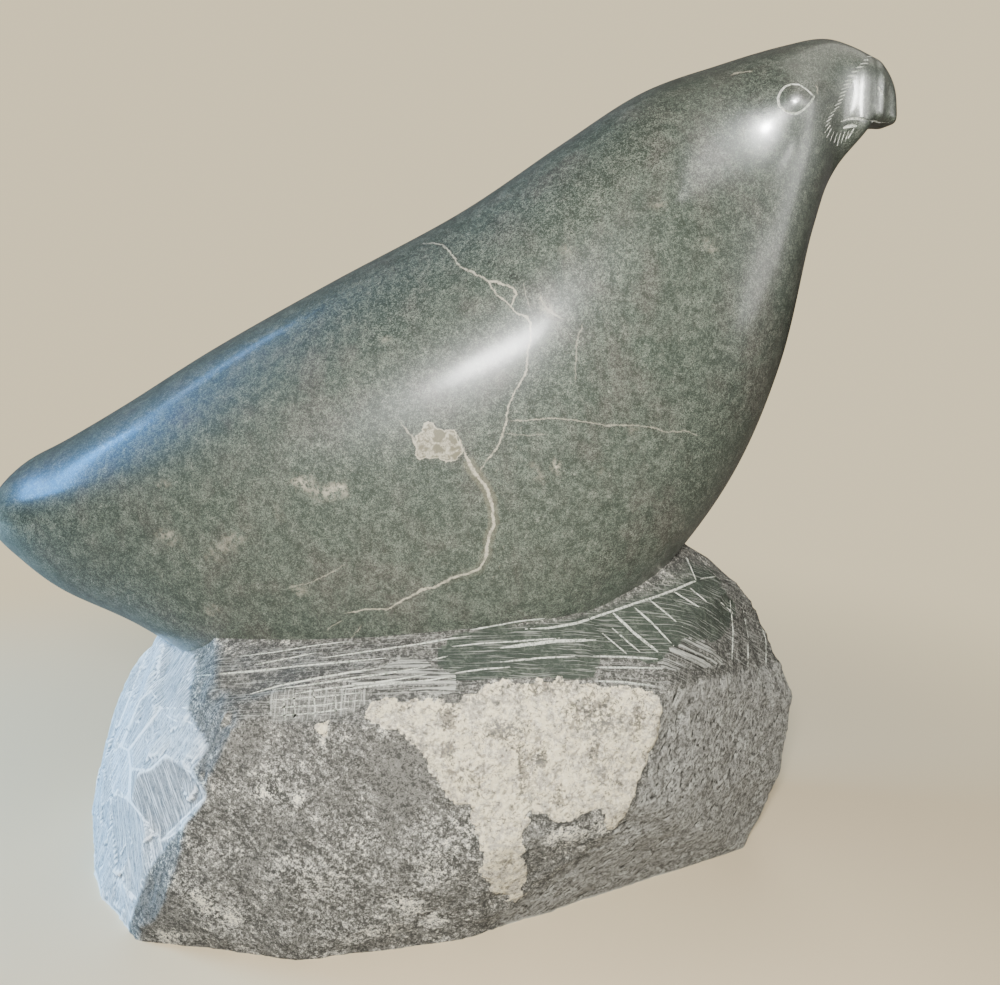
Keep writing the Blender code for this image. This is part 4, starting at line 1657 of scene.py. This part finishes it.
def vein_cover(bench: NodeBench, layer: int, wander: object) -> tuple:
    """How a layer of veins covers the polished stone.

    Args:
        bench: The material's bench.
        layer: Which layer of veins.
        wander: How far the veins stray from their lines, in millimetres.

    Returns:
        How much a vein shows, and how much of a tan halo lies round it.
    """
    side = bench.math("ABSOLUTE", bench.plus(bench.attribute(f"vein_side_{layer}"), wander))
    width = bench.attribute(f"vein_width_{layer}")
    strength = bench.attribute(f"vein_strength_{layer}")
    vein = bench.step(bench.math("DIVIDE", side, bench.plus(width, 0.001)), 1.15, 0.55)
    halo = bench.step(bench.minus(side, bench.times(width, 2.2)), 0.9, 0.0)
    wide = bench.step(width, 0.30, 0.50)
    return bench.times(vein, strength), bench.times(halo, wide)


class PolishedStone:
    """The bird's polished stone: fine green-grey mottling, brownish bands, veins and pale blotches."""

    def __init__(self, colours: StoneColours) -> None:
        """Starts the material with the noises that its parts share."""
        self.colours = colours
        self.material, self.bench = new_material(Finish.POLISHED.material_name())
        bench = self.bench
        self.where = bench.add("TexCoord").outputs["Object"]
        self.across = bench.add("SeparateXYZ", {0: self.where}).outputs[1]
        self.clouds = bench.noise(self.where, 48, 3, 0.6, 0.6)
        self.mottle = bench.noise(self.where, 1350, 4, 0.75, 0.5)
        self.patches = bench.noise(self.where, 330, 3, 0.6, 0.5)
        grain = bench.noise(self.where, 3300, 2, 0.6)
        self.speckle = bench.sum_of(((self.mottle, 0.42), (self.patches, 0.13), (grain, 0.45)))

    def mottled(self) -> Socket:
        """The green ground with its brownish bands, its speckle and its fibres."""
        bench, colours = self.bench, self.colours
        bands = bench.noise(bench.stretched((0, 14, 0), (1.0, 1.0, 0.22)), 95, 4, 0.65, 0.4)
        tint = bench.plus(bench.times(self.clouds, 0.5), bench.times(bands, 0.5))
        tint = bench.plus(tint, bench.times(bench.attribute("brown"), 0.13))
        body = bench.mix(bench.step(tint, 0.46, 0.66), colours.green, colours.brown)
        body = bench.paint(body, colours.deep_green, bench.step(self.clouds, 0.52, 0.36), 0.55)
        body = bench.paint(body, colours.dark, bench.step(self.speckle, 0.520, 0.420), 0.90)
        body = bench.paint(body, colours.light, bench.step(self.speckle, 0.50, 0.585), 0.72)
        fibre = bench.step(bench.off(bench.noise(self.where, 620, 2, 0.5, 1.6), 0.5), 0.020, 0.004)
        return bench.paint(body, colours.fibre, fibre, bench.step(self.patches, 0.44, 0.60), 0.60)

    def spotted(self, body: Socket) -> Socket:
        """The stone with its dark and pale spots and the tan blotch with its pale threads."""
        bench, colours = self.bench, self.colours
        black = bench.step(self.mottle, 0.62, 0.44)
        body = bench.paint(body, colours.black, bench.attribute("dark"), black)
        pale = bench.step(bench.noise(self.where, 560, 4, 0.75), 0.42, 0.58)
        body = bench.paint(body, colours.vein, bench.attribute("pale"), pale)
        ragged = bench.plus(bench.attribute("blotch"), bench.times(bench.minus(self.patches, 0.5), 1.6))
        body = bench.paint(body, colours.tan, bench.step(ragged, -0.05, 0.15), 0.85)
        inputs = {"Vector": bench.warped(self.where, 1.6 * MM, 420), "Scale": 300}
        network = bench.add("TexVoronoi", inputs, feature="DISTANCE_TO_EDGE").outputs["Distance"]
        threads = bench.times(bench.step(network, 0.20, 0.02), bench.step(ragged, 0.0, 0.2))
        threads = bench.times(threads, bench.step(self.mottle, 0.36, 0.58))
        rim = bench.step(bench.off(ragged, 0.08), 0.14, 0.02)
        return bench.mix(bench.math("MAXIMUM", rim, threads), body, colours.vein)

    def veined(self, body: Socket) -> Socket:
        """The stone with the veins of the near side and the fainter ones of the far side."""
        bench, colours = self.bench, self.colours
        wander = bench.times(bench.minus(bench.noise(self.where, 420, 5, 0.75), 0.5), 2.0)
        broken = bench.mixed(bench.step(bench.noise(self.where, 700, 3, 0.7), 0.38, 0.52), 0.45, 1.0)
        for layer in range(VEIN_LAYERS):
            vein, halo = vein_cover(bench, layer, wander)
            body = bench.paint(body, colours.tan, halo, 0.42)
            body = bench.paint(body, colours.vein, vein, broken)
        quiet = bench.step(bench.off(bench.noise(self.where, 9, 6, 0.72, 0.8), 0.5), 0.0034, 0.0012)
        quiet = bench.times(quiet, bench.step(self.across, 0.004, 0.016))
        return bench.paint(body, colours.vein, quiet, bench.step(self.clouds, 0.51, 0.59), 0.8)

    def make(self) -> bpy.types.Material:
        """Puts the parts together under a satin polish.

        Returns:
            The material.
        """
        bench = self.bench
        body = self.veined(self.spotted(self.mottled()))
        shader = bench.surface(body, 0.40, 1.52, bench.bump(self.speckle, 0.05 * MM, 0.75))
        shader.inputs["Coat Weight"].default_value = 0.45
        shader.inputs["Coat Roughness"].default_value = 0.16
        bench.feed(shader.inputs["Coat Normal"], bench.bump(self.speckle, 0.05 * MM, 0.28))
        return self.material


class RoughStone:
    """The block's stone: weathered, with a cream rind, a fracture, rasped ledges and a chiselled end."""

    def __init__(self, colours: StoneColours) -> None:
        """Starts the material with the coordinates, regions and noises that its parts share."""
        self.colours = colours
        self.material, self.bench = new_material(Finish.ROUGH.material_name())
        bench = self.bench
        self.where = bench.add("TexCoord").outputs["Object"]
        self.ahead, self.across, self.up = bench.add("SeparateXYZ", {0: self.where}).outputs[:3]
        # The crest drives painted highlights on edges and painted shade in hollows
        self.crest = bench.attribute("crest")
        self.fracture = bench.attribute("fracture")
        self.clouds = bench.noise(self.where, 75, 3, 0.6, 0.4)
        self.coarse = bench.noise(self.where, 290, 5, 0.72, 0.5)
        self.fine = bench.noise(self.where, 1000, 4, 0.75, 0.3)
        self.grain = bench.noise(self.where, 2500, 2, 0.6)
        leaves = bench.noise(bench.stretched((0, -38, 0), (0.30, 1.0, 1.3)), 420, 4, 0.7)
        parts = ((self.coarse, 0.18), (self.fine, 0.42), (self.grain, 0.22), (leaves, 0.18))
        self.speckle = bench.sum_of(parts)

    def level_scratches(self, scale: float, low: float, high: float) -> object:
        """How much scratches show that run level along the ledge, for a scale and two noise values."""
        return self.bench.scratches(self.ahead, self.bench.plus(self.across, self.up), scale, low, high)

    def weathered(self) -> Socket:
        """The old weathered skin, with its bright and its dark clouds."""
        bench, colours = self.bench, self.colours
        body = bench.mix(bench.step(self.speckle, 0.445, 0.525), colours.weathered_dark, colours.weathered)
        lit = bench.plus(self.speckle, bench.times(bench.minus(self.clouds, 0.5), 0.10))
        lit = bench.plus(lit, bench.times(bench.attribute("bloom"), 0.070))
        lit = bench.minus(lit, bench.times(bench.attribute("gloom"), 0.05))
        body = bench.paint(body, colours.weathered_light_and_highlight, bench.step(lit, 0.515, 0.560), 0.85)
        body = bench.paint(body, colours.rind_pale, bench.step(lit, 0.560, 0.60), 0.8)
        return bench.paint(body, colours.pit_and_hollow_shade, bench.step(self.grain, 0.43, 0.34), 0.5)

    def fractured(self) -> tuple[Socket, Socket]:
        """The silvery fresh fracture, with painted glints on its flakes, painted highlights on its crests and
        painted shade in its hollows.

        Returns:
            Its colour, and how high each of its flakes stands.
        """
        bench, colours = self.bench, self.colours
        crystals = bench.add("TexVoronoi", {"Vector": bench.warped(self.where, 0.4 * MM, 900), "Scale": 560})
        flake = bench.add("SeparateColor", {0: crystals.outputs["Color"]}).outputs[0]
        silver = bench.mix(bench.step(self.speckle, 0.43, 0.58), colours.silver_dark, colours.silver)
        # Painted glints: pale flecks on the flakes stand in for light glinting off them
        glint = bench.times(bench.step(flake, 0.66, 0.80), bench.step(self.fine, 0.44, 0.56))
        silver = bench.paint(silver, colours.powder_and_glint, glint, 0.75)
        # Painted highlights on the crests and painted shade in the hollows
        silver = bench.mix(bench.step(self.crest, 0.02, 0.16), silver, colours.weathered_light_and_highlight)
        silver = bench.mix(bench.step(self.crest, -0.03, -0.16), silver, colours.pit_and_hollow_shade)
        return silver, flake

    def rasped_ledge(self, level: object) -> Socket:
        """The ledge below the bird: smooth green stone, grey stone, and patches that a rasp has worked.

        Args:
            level: How much its level scratches show.

        Returns:
            Its colour.
        """
        bench, colours = self.bench, self.colours
        dust = bench.times(bench.step(self.coarse, 0.42, 0.60), bench.step(self.fine, 0.42, 0.60))
        green = bench.paint(colours.ledge_green, colours.light, dust, 0.45)
        grey = bench.mix(bench.step(self.speckle, 0.46, 0.57), colours.weathered_dark, colours.weathered)
        grey = bench.paint(grey, colours.weathered_light_and_highlight, bench.step(self.fine, 0.52, 0.60), 0.5)
        smooth = bench.ragged("smooth", self.fine)
        body = bench.mix(smooth, grey, green)
        body = bench.paint(body, colours.powder_and_glint, level, bench.mixed(smooth, 0.40, 0.38))
        rasped = bench.ragged("rasped", self.fine)
        body = bench.paint(body, colours.powder_and_glint, self.level_scratches(620, 0.43, 0.56), rasped, 0.75)
        body = bench.paint(body, colours.pit_and_hollow_shade, self.level_scratches(900, 0.50, 0.42), rasped, 0.85)
        hatched = bench.ragged("hatched", self.fine)
        upright = bench.scratches(self.up, self.ahead, 1300, 0.52, 0.62)
        body = bench.paint(body, colours.weathered_light_and_highlight, hatched, 0.12)
        body = bench.paint(body, colours.powder_and_glint, upright, hatched, 0.55)
        pits = bench.step(self.coarse, 0.54, 0.44)
        return bench.paint(body, colours.weathered_dark, bench.attribute("broken"), pits, 0.7)

    def rind(self) -> Socket:
        """The raised cream skin, pitted and stained with soil, with painted shade in its hollows."""
        bench, colours = self.bench, self.colours
        soil = bench.attribute("soil")
        lumpy = bench.noise(self.where, 520, 5, 0.72, 0.6)
        crust = bench.mix(bench.step(self.coarse, 0.43, 0.55), colours.rind_dull, colours.rind)
        crust = bench.paint(crust, colours.rind_pale, bench.step(self.fine, 0.53, 0.60), 0.7)
        stained = bench.step(bench.plus(lumpy, bench.times(soil, 0.13)), 0.555, 0.645)
        crust = bench.paint(crust, colours.rind_soil_and_shade, stained, 0.80)
        hollows = bench.step(bench.minus(self.fine, bench.times(soil, 0.09)), 0.435, 0.375)
        crust = bench.paint(crust, colours.weathered_dark, hollows, 0.80)
        bare = bench.step(self.fine, 0.60, 0.42)
        crust = bench.paint(crust, colours.weathered, bench.attribute("gloom"), bare)
        # Painted shade: the hollows are darkened with the soil colour
        return bench.paint(crust, colours.rind_soil_and_shade, bench.step(self.crest, -0.03, -0.12), 0.7)

    def chiselled(self) -> tuple[Socket, Socket]:
        """The flats that the chisel has left, pale with powder and with a tone that is partly painted light,
        with a pale line along each edge that is partly powder and partly a painted highlight, painted
        highlights on their crests and painted shade in their hollows.

        Returns:
            Their colour, and how much their scratches show.
        """
        bench, colours = self.bench, self.colours
        level = bench.minus(bench.times(self.ahead, 0.64), bench.times(self.across, 0.77))
        slant = bench.attribute("flat_slant")
        strokes = bench.times(bench.slanted_strokes(level, self.up, 62.0), bench.minus(1.0, slant))
        others = bench.times(bench.slanted_strokes(level, self.up, -44.0), slant)
        strokes = bench.plus(strokes, others)
        # The tone is partly powder and partly painted light: how brightly each flat catches the light
        tone = bench.attribute("flat_tone")
        cut = bench.mix(tone, colours.cut_dull_and_shaded, colours.cut)
        cut = bench.paint(cut, colours.cut_dark, bench.step(self.speckle, 0.535, 0.430), 0.80)
        cut = bench.paint(cut, colours.edge, strokes, bench.mixed(tone, 0.55, 0.85))
        # A pale line along each flat's edge, partly powder and partly a painted highlight where the edge
        # would catch the light
        worn_edge_and_highlight = bench.plus(bench.attribute("flat_edge"), bench.times(bench.minus(self.fine, 0.5), 0.9))
        cut = bench.mix(bench.step(worn_edge_and_highlight, 0.36, 0.08), cut, colours.edge)
        # Painted highlights on the crests and painted shade in the hollows
        cut = bench.paint(cut, colours.edge, bench.step(self.crest, 0.03, 0.12), 0.8)
        return bench.paint(cut, colours.cut_dark, bench.step(self.crest, -0.03, -0.12), 0.7), strokes

    def make(self) -> bpy.types.Material:
        """Lays the regions over each other and gives each its own relief.

        Returns:
            The material.
        """
        bench = self.bench
        level = self.level_scratches(1500, 0.53, 0.63)
        silver, flake = self.fractured()
        cut, strokes = self.chiselled()
        ledge, chiselled = bench.attribute("ledge"), bench.attribute("chiselled")
        body = bench.mix(self.fracture, self.weathered(), silver)
        body = bench.mix(ledge, body, self.rasped_ledge(level))
        body = bench.mix(bench.ragged("rind", self.fine), body, self.rind())
        body = bench.mix(chiselled, body, cut)
        height = bench.times(self.speckle, bench.mixed(chiselled, 1.0, 0.35))
        height = bench.plus(height, bench.times(bench.times(strokes, chiselled), 0.10))
        height = bench.minus(height, bench.times(bench.times(level, ledge), 0.12))
        height = bench.plus(height, bench.times(bench.times(flake, self.fracture), 0.35))
        rough = bench.mixed(self.fracture, 0.80, 0.45)
        bench.surface(body, rough, 1.5, bench.bump(height, 1.1 * MM, 0.9))
        return self.material


def scratched_stone(colours: StoneColours) -> bpy.types.Material:
    """Makes the pale powdery stone at the bottom of a fresh cut or scratch.

    Args:
        colours: The stone's colours.

    Returns:
        The material.
    """
    material, bench = new_material(Finish.SCRATCHED.material_name())
    grain = bench.noise(bench.add("TexCoord").outputs["Object"], 1600, 3, 0.7)
    body = bench.mix(bench.step(grain, 0.36, 0.56), colours.light, colours.powder_and_glint)
    bench.surface(body, 0.8, 1.5, bench.bump(grain, 0.1 * MM, 0.6))
    return material


@dataclass
class Carving:
    """The whole carving, one stone: the figure and the block united, with their marks."""

    figure: Figure = field(default_factory=Figure)
    block: Block = field(default_factory=Block)
    colours: StoneColours = field(default_factory=StoneColours)
    photo: PhotoCamera = field(default_factory=PhotoCamera)
    graver: Graver = field(default_factory=Graver)
    back_reach: float = 0.3
    sharp_above: float = 38.0
    look_ahead: float = 2.0
    back_every: int = 3
    back_step: int = 2
    vein_reach: float = 5.5
    vein_cover: float = 3.3
    vein_fades_over: float = 0.04
    blotch_reach: float = 8.0

    def mix_stone(self) -> None:
        """Makes the carving's materials."""
        PolishedStone(self.colours).make()
        RoughStone(self.colours).make()
        scratched_stone(self.colours)

    def build(self) -> Object:
        """Makes the carving.

        Returns:
            The finished piece.
        """
        self.mix_stone()
        piece = self.block.build()
        LOG.info("block: %d faces", len(piece.data.polygons))
        bird = self.figure.build()
        LOG.info("figure: %d faces", len(bird.data.polygons))
        self.engrave_head(bird)
        LOG.info("engraved head: %d faces", len(bird.data.polygons))
        combine(piece, bird, Combining.UNITES)
        LOG.info("united: %d faces", len(piece.data.polygons))
        self.score_ledge(piece)
        LOG.info("scored ledge: %d faces", len(piece.data.polygons))
        piece.name = "carved_bird_and_block"
        piece.data.name = piece.name
        self.mark(piece)
        piece.data.shade_smooth()
        piece.data.set_sharp_from_angle(angle=math.radians(self.sharp_above))
        return piece

    def engrave_head(self, bird: Object) -> None:
        """Cuts the eyes' rings, the beak's lines and the fringe at its root, on both sides.

        Args:
            bird: The figure.
        """
        surface = surface_of(bird)
        paths = [(groove, self.graver.path(surface, groove)) for groove in (EYE_RING, *HEAD_GROOVES)]
        paths += [(groove, [(mirrored(p), mirrored(n)) for p, n in path]) for groove, path in paths]
        strokes = []
        for pixel, lean in FRINGE:
            hit = self.photo.on(surface, pixel)
            turn = math.radians(lean)
            right, up = self.look_ahead * math.cos(turn), self.look_ahead * math.sin(turn)
            ahead = self.photo.on(surface, (pixel[0] + right, pixel[1] - up))
            if hit is None or ahead is None:
                continue
            place, outward = hit
            along = (ahead[0] - place).normalized()
            strokes.append((place, outward, along))
            strokes.append((mirrored(place), mirrored(outward), mirrored(along)))
        combine(bird, self.graver.bars("head bars", paths), Combining.CUTS)
        combine(bird, self.graver.spindles("fringe spindles", strokes), Combining.CUTS)

    def score_ledge(self, piece: Object) -> None:
        """Cuts the rasp's and the chisel's lines into the ledge below the bird, fewer of them at the back.

        Args:
            piece: The united carving.
        """
        surface = surface_of(piece)
        paths = []
        for index, groove in enumerate(LEDGE_GROOVES):
            path = self.graver.path(surface, groove)
            paths.append((groove, path))
            behind = []
            for place, _ in path[:: self.back_step if index % self.back_every == 0 else len(path)]:
                start = Vector((place.x, self.back_reach, place.z))
                hit, outward, _, _ = surface.ray_cast(start, Vector((0, -1, 0)))
                if hit is not None:
                    behind.append((hit, outward))
            if len(behind) > 2:
                paths.append((groove, behind))
        combine(piece, self.graver.bars("ledge bars", paths), Combining.CUTS)

    def mark(self, piece: Object) -> None:
        """Stores where the stone's regions and veins are, for the materials.

        Args:
            piece: The united carving.
        """
        mesh = piece.data
        points = points_of(mesh)
        values = self.block.regions(points)
        values.update(self.block.flat_marks(points))
        values.update(self.veins(points))
        # The crest is stored for the rough stone's painted highlights on edges and painted shade in hollows
        values["crest"] = crests(mesh, points)
        pixels, _ = self.photo.pixels(points)
        near = points[:, 1] < 0.0
        blotch = np.clip(inside_distance(pixels, BLOTCH) / self.blotch_reach, -1, 1)
        values["blotch"] = np.where(near, blotch, -1)
        for name, spots in SPOT_FIELDS.items():
            values[name] = spot_field(pixels, spots) * near
        for name, found in values.items():
            attribute = mesh.attributes.new(name, "FLOAT", "POINT")
            attribute.data.foreach_set("value", found.astype(np.float32))

    def veins(self, points: Array) -> dict[str, Array]:
        """Where the veins run in the polished stone.

        Args:
            points: The piece's points.

        Returns:
            For each layer of veins, how far each point is to the side, in millimetres, and how wide and how
            strong the vein is there.
        """
        pixels, ahead = self.photo.pixels(points)
        near = points[:, 1] < 0.0
        found = {}
        for layer in range(VEIN_LAYERS):
            side = np.full(len(points), self.vein_reach)
            width = np.zeros(len(points))
            strength = np.zeros(len(points))
            for vein in (vein for vein in VEINS if vein.layer == layer):
                across, along = across_distance(pixels, vein.line)
                across = across * ahead / self.photo.focal / MM
                closer = near & (np.abs(across) < np.abs(side))
                ends = smooth_step(along, 0.0, self.vein_fades_over)
                ends = ends * smooth_step(1 - along, 0.0, self.vein_fades_over)
                ends = ends * (np.abs(across) < self.vein_cover)
                side = np.where(closer, across, side)
                width = np.where(closer, (vein.start + (vein.end - vein.start) * along) * ends, width)
                strength = np.where(closer, vein.strength * np.sign(ends), strength)
            found[f"vein_side_{layer}"] = side
            found[f"vein_width_{layer}"] = width
            found[f"vein_strength_{layer}"] = strength
        return found


@dataclass(frozen=True)
class Lamp:
    """One soft light, aimed at a place."""

    name: str
    place: Triple
    aim: Triple
    size: Pair
    power: float
    colour: Triple
    lights: str = "all"
    along: Triple | None = None
    spread: float = 180.0

    def turn(self) -> Euler:
        """How the light is turned: to its aim, with its long side along its line where it has one."""
        back = (Vector(self.place) - Vector(self.aim)).normalized()
        if self.along is None:
            return back.to_track_quat("Z", "Y").to_euler()
        upward = back.cross(Vector(self.along)).normalized()
        return Matrix((upward.cross(back), upward, back)).transposed().to_euler()

    def make(self) -> Object:
        """Puts the light in the scene.

        Returns:
            The light.
        """
        light = bpy.data.lights.new(self.name, "AREA")
        light.shape = "RECTANGLE"
        light.size, light.size_y = self.size
        light.energy = self.power
        light.color = self.colour
        light.spread = math.radians(self.spread)
        made = bpy.data.objects.new(self.name, light)
        made.location = self.place
        made.visible_camera = False
        made.visible_diffuse = self.lights != "gloss"
        made.visible_glossy = self.lights != "body"
        made.rotation_euler = self.turn()
        bpy.context.scene.collection.objects.link(made)
        return made


BULB = (1.0, 0.97, 0.92)
WHITE = (1.0, 0.99, 0.97)
CREAM = (1.0, 0.99, 0.95)


@dataclass
class Studio:
    """The pale floor and the soft light round the carving."""

    floor_radius: float = 6.0
    floor_colour: tuple = (0.78, 0.66, 0.45, 1.0)
    floor_bounce: tuple = (0.26, 0.23, 0.18, 1.0)
    floor_fades: Pair = (0.10, 0.42)
    back_colour: tuple = (1.10, 0.945, 0.62, 1.0)
    back_strength: float = 0.95
    sky_colour: tuple = (1.0, 0.95, 0.86, 1.0)
    sky_strength: float = 0.16
    lamps: tuple = (
        Lamp("flash", (0.010, -0.365, 0.240), (0.03, 0.0, 0.13), (0.05, 0.05), 3.2, BULB, "body"),
        Lamp("flash sheen", (-0.048, -0.320, 0.235), (0.02, 0.0, 0.16), (0.075, 0.034), 1.5, WHITE, "gloss"),
        Lamp("cheek sheen", (0.122, -0.113, 0.269), (0.092, -0.029, 0.224), (0.036, 0.022), 0.022, WHITE,
             "gloss", spread=15.0),
        Lamp("beak sheen", (0.1665, -0.067, 0.249), (0.124, -0.014, 0.238), (0.010, 0.060), 0.03, CREAM,
             "gloss", spread=44.0),
        Lamp("neck sheen", (0.441, -0.115, 0.248), (0.105, -0.02, 0.205), (0.09, 0.24), 0.48, CREAM, "gloss"),
        Lamp("crown sheen", (0.330, 0.110, 0.640), (0.10, 0.0, 0.24), (0.34, 0.34), 0.6, (1.0, 0.98, 0.84),
             "gloss"),
        Lamp("back fill", (0.20, 0.75, 0.55), (0.0, 0.0, 0.12), (0.6, 0.6), 3.2, BULB, "body"),
        Lamp("window sheen", (-0.86, -0.03, 0.53), (-0.10, 0.0, 0.13), (0.46, 0.048), 5.6, (0.08, 0.40, 1.0),
             "gloss", (0.15, 0.42, 0.26)),
        Lamp("far window sheen", (-0.68, 0.30, 0.70), (-0.06, 0.0, 0.15), (0.34, 0.035), 0.9,
             (0.14, 0.44, 1.0), "gloss", (0.22, 0.24, 0.09)),
        Lamp("window", (-0.60, 0.12, 0.09), (-0.12, 0.0, 0.05), (0.16, 0.14), 12.0, (0.32, 0.63, 1.0),
             "body"),
    )

    def build(self) -> None:
        """Makes the floor, the sky and the lights."""
        mesh = bpy.data.meshes.new("floor")
        bm = bmesh.new()
        bmesh.ops.create_circle(bm, cap_ends=True, radius=self.floor_radius, segments=96)
        bm.to_mesh(mesh)
        bm.free()
        floor = link("floor", mesh)
        floor.data.materials.append(self.floor_material())
        world = bpy.data.worlds.new("studio")
        world.use_nodes = True
        bench = NodeBench(world.node_tree)
        sky = bench.add("Background", {"Color": self.sky_colour, "Strength": self.sky_strength})
        back = bench.add("Background", {"Color": self.back_colour, "Strength": self.back_strength})
        seen = bench.add("LightPath").outputs["Is Camera Ray"]
        shown = bench.add("MixShader", {0: seen, 1: sky.outputs[0], 2: back.outputs[0]})
        bench.add("OutputWorld", {"Surface": shown.outputs[0]})
        bpy.context.scene.world = world
        for lamp in self.lamps:
            lamp.make()

    def floor_material(self) -> bpy.types.Material:
        """The floor's matt paint, which fades into the pale backdrop far from the carving.

        Returns:
            The material.
        """
        material, bench = new_material("pale_floor")
        seen = bench.add("LightPath").outputs["Is Camera Ray"]
        paint = bench.mix(seen, self.floor_bounce, self.floor_colour)
        shader = bench.add("BsdfPrincipled", {"Base Color": paint, "Roughness": 0.6})
        where = bench.add("TexCoord").outputs["Object"]
        away = bench.add("VectorMath", {0: where}, operation="LENGTH").outputs["Value"]
        glow = bench.add("Emission", {"Color": self.back_colour, "Strength": self.back_strength})
        share = bench.times(bench.step(away, *self.floor_fades), seen)
        faded = bench.add("MixShader", {0: share, 1: shader.outputs[0], 2: glow.outputs[0]})
        bench.add("OutputMaterial", {"Surface": faded.outputs[0]})
        return material


def main() -> None:
    logging.basicConfig(level=logging.INFO, format="%(name)s: %(message)s")
    noise.seed_set(SEED)
    PhotoCamera().make()
    piece = Carving().build()
    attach(piece, "root")
    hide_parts(NODE)
    LOG.info("%s: %d vertices", piece.name, len(piece.data.vertices))
    Studio().build()


if __name__ == "__main__":
    main()
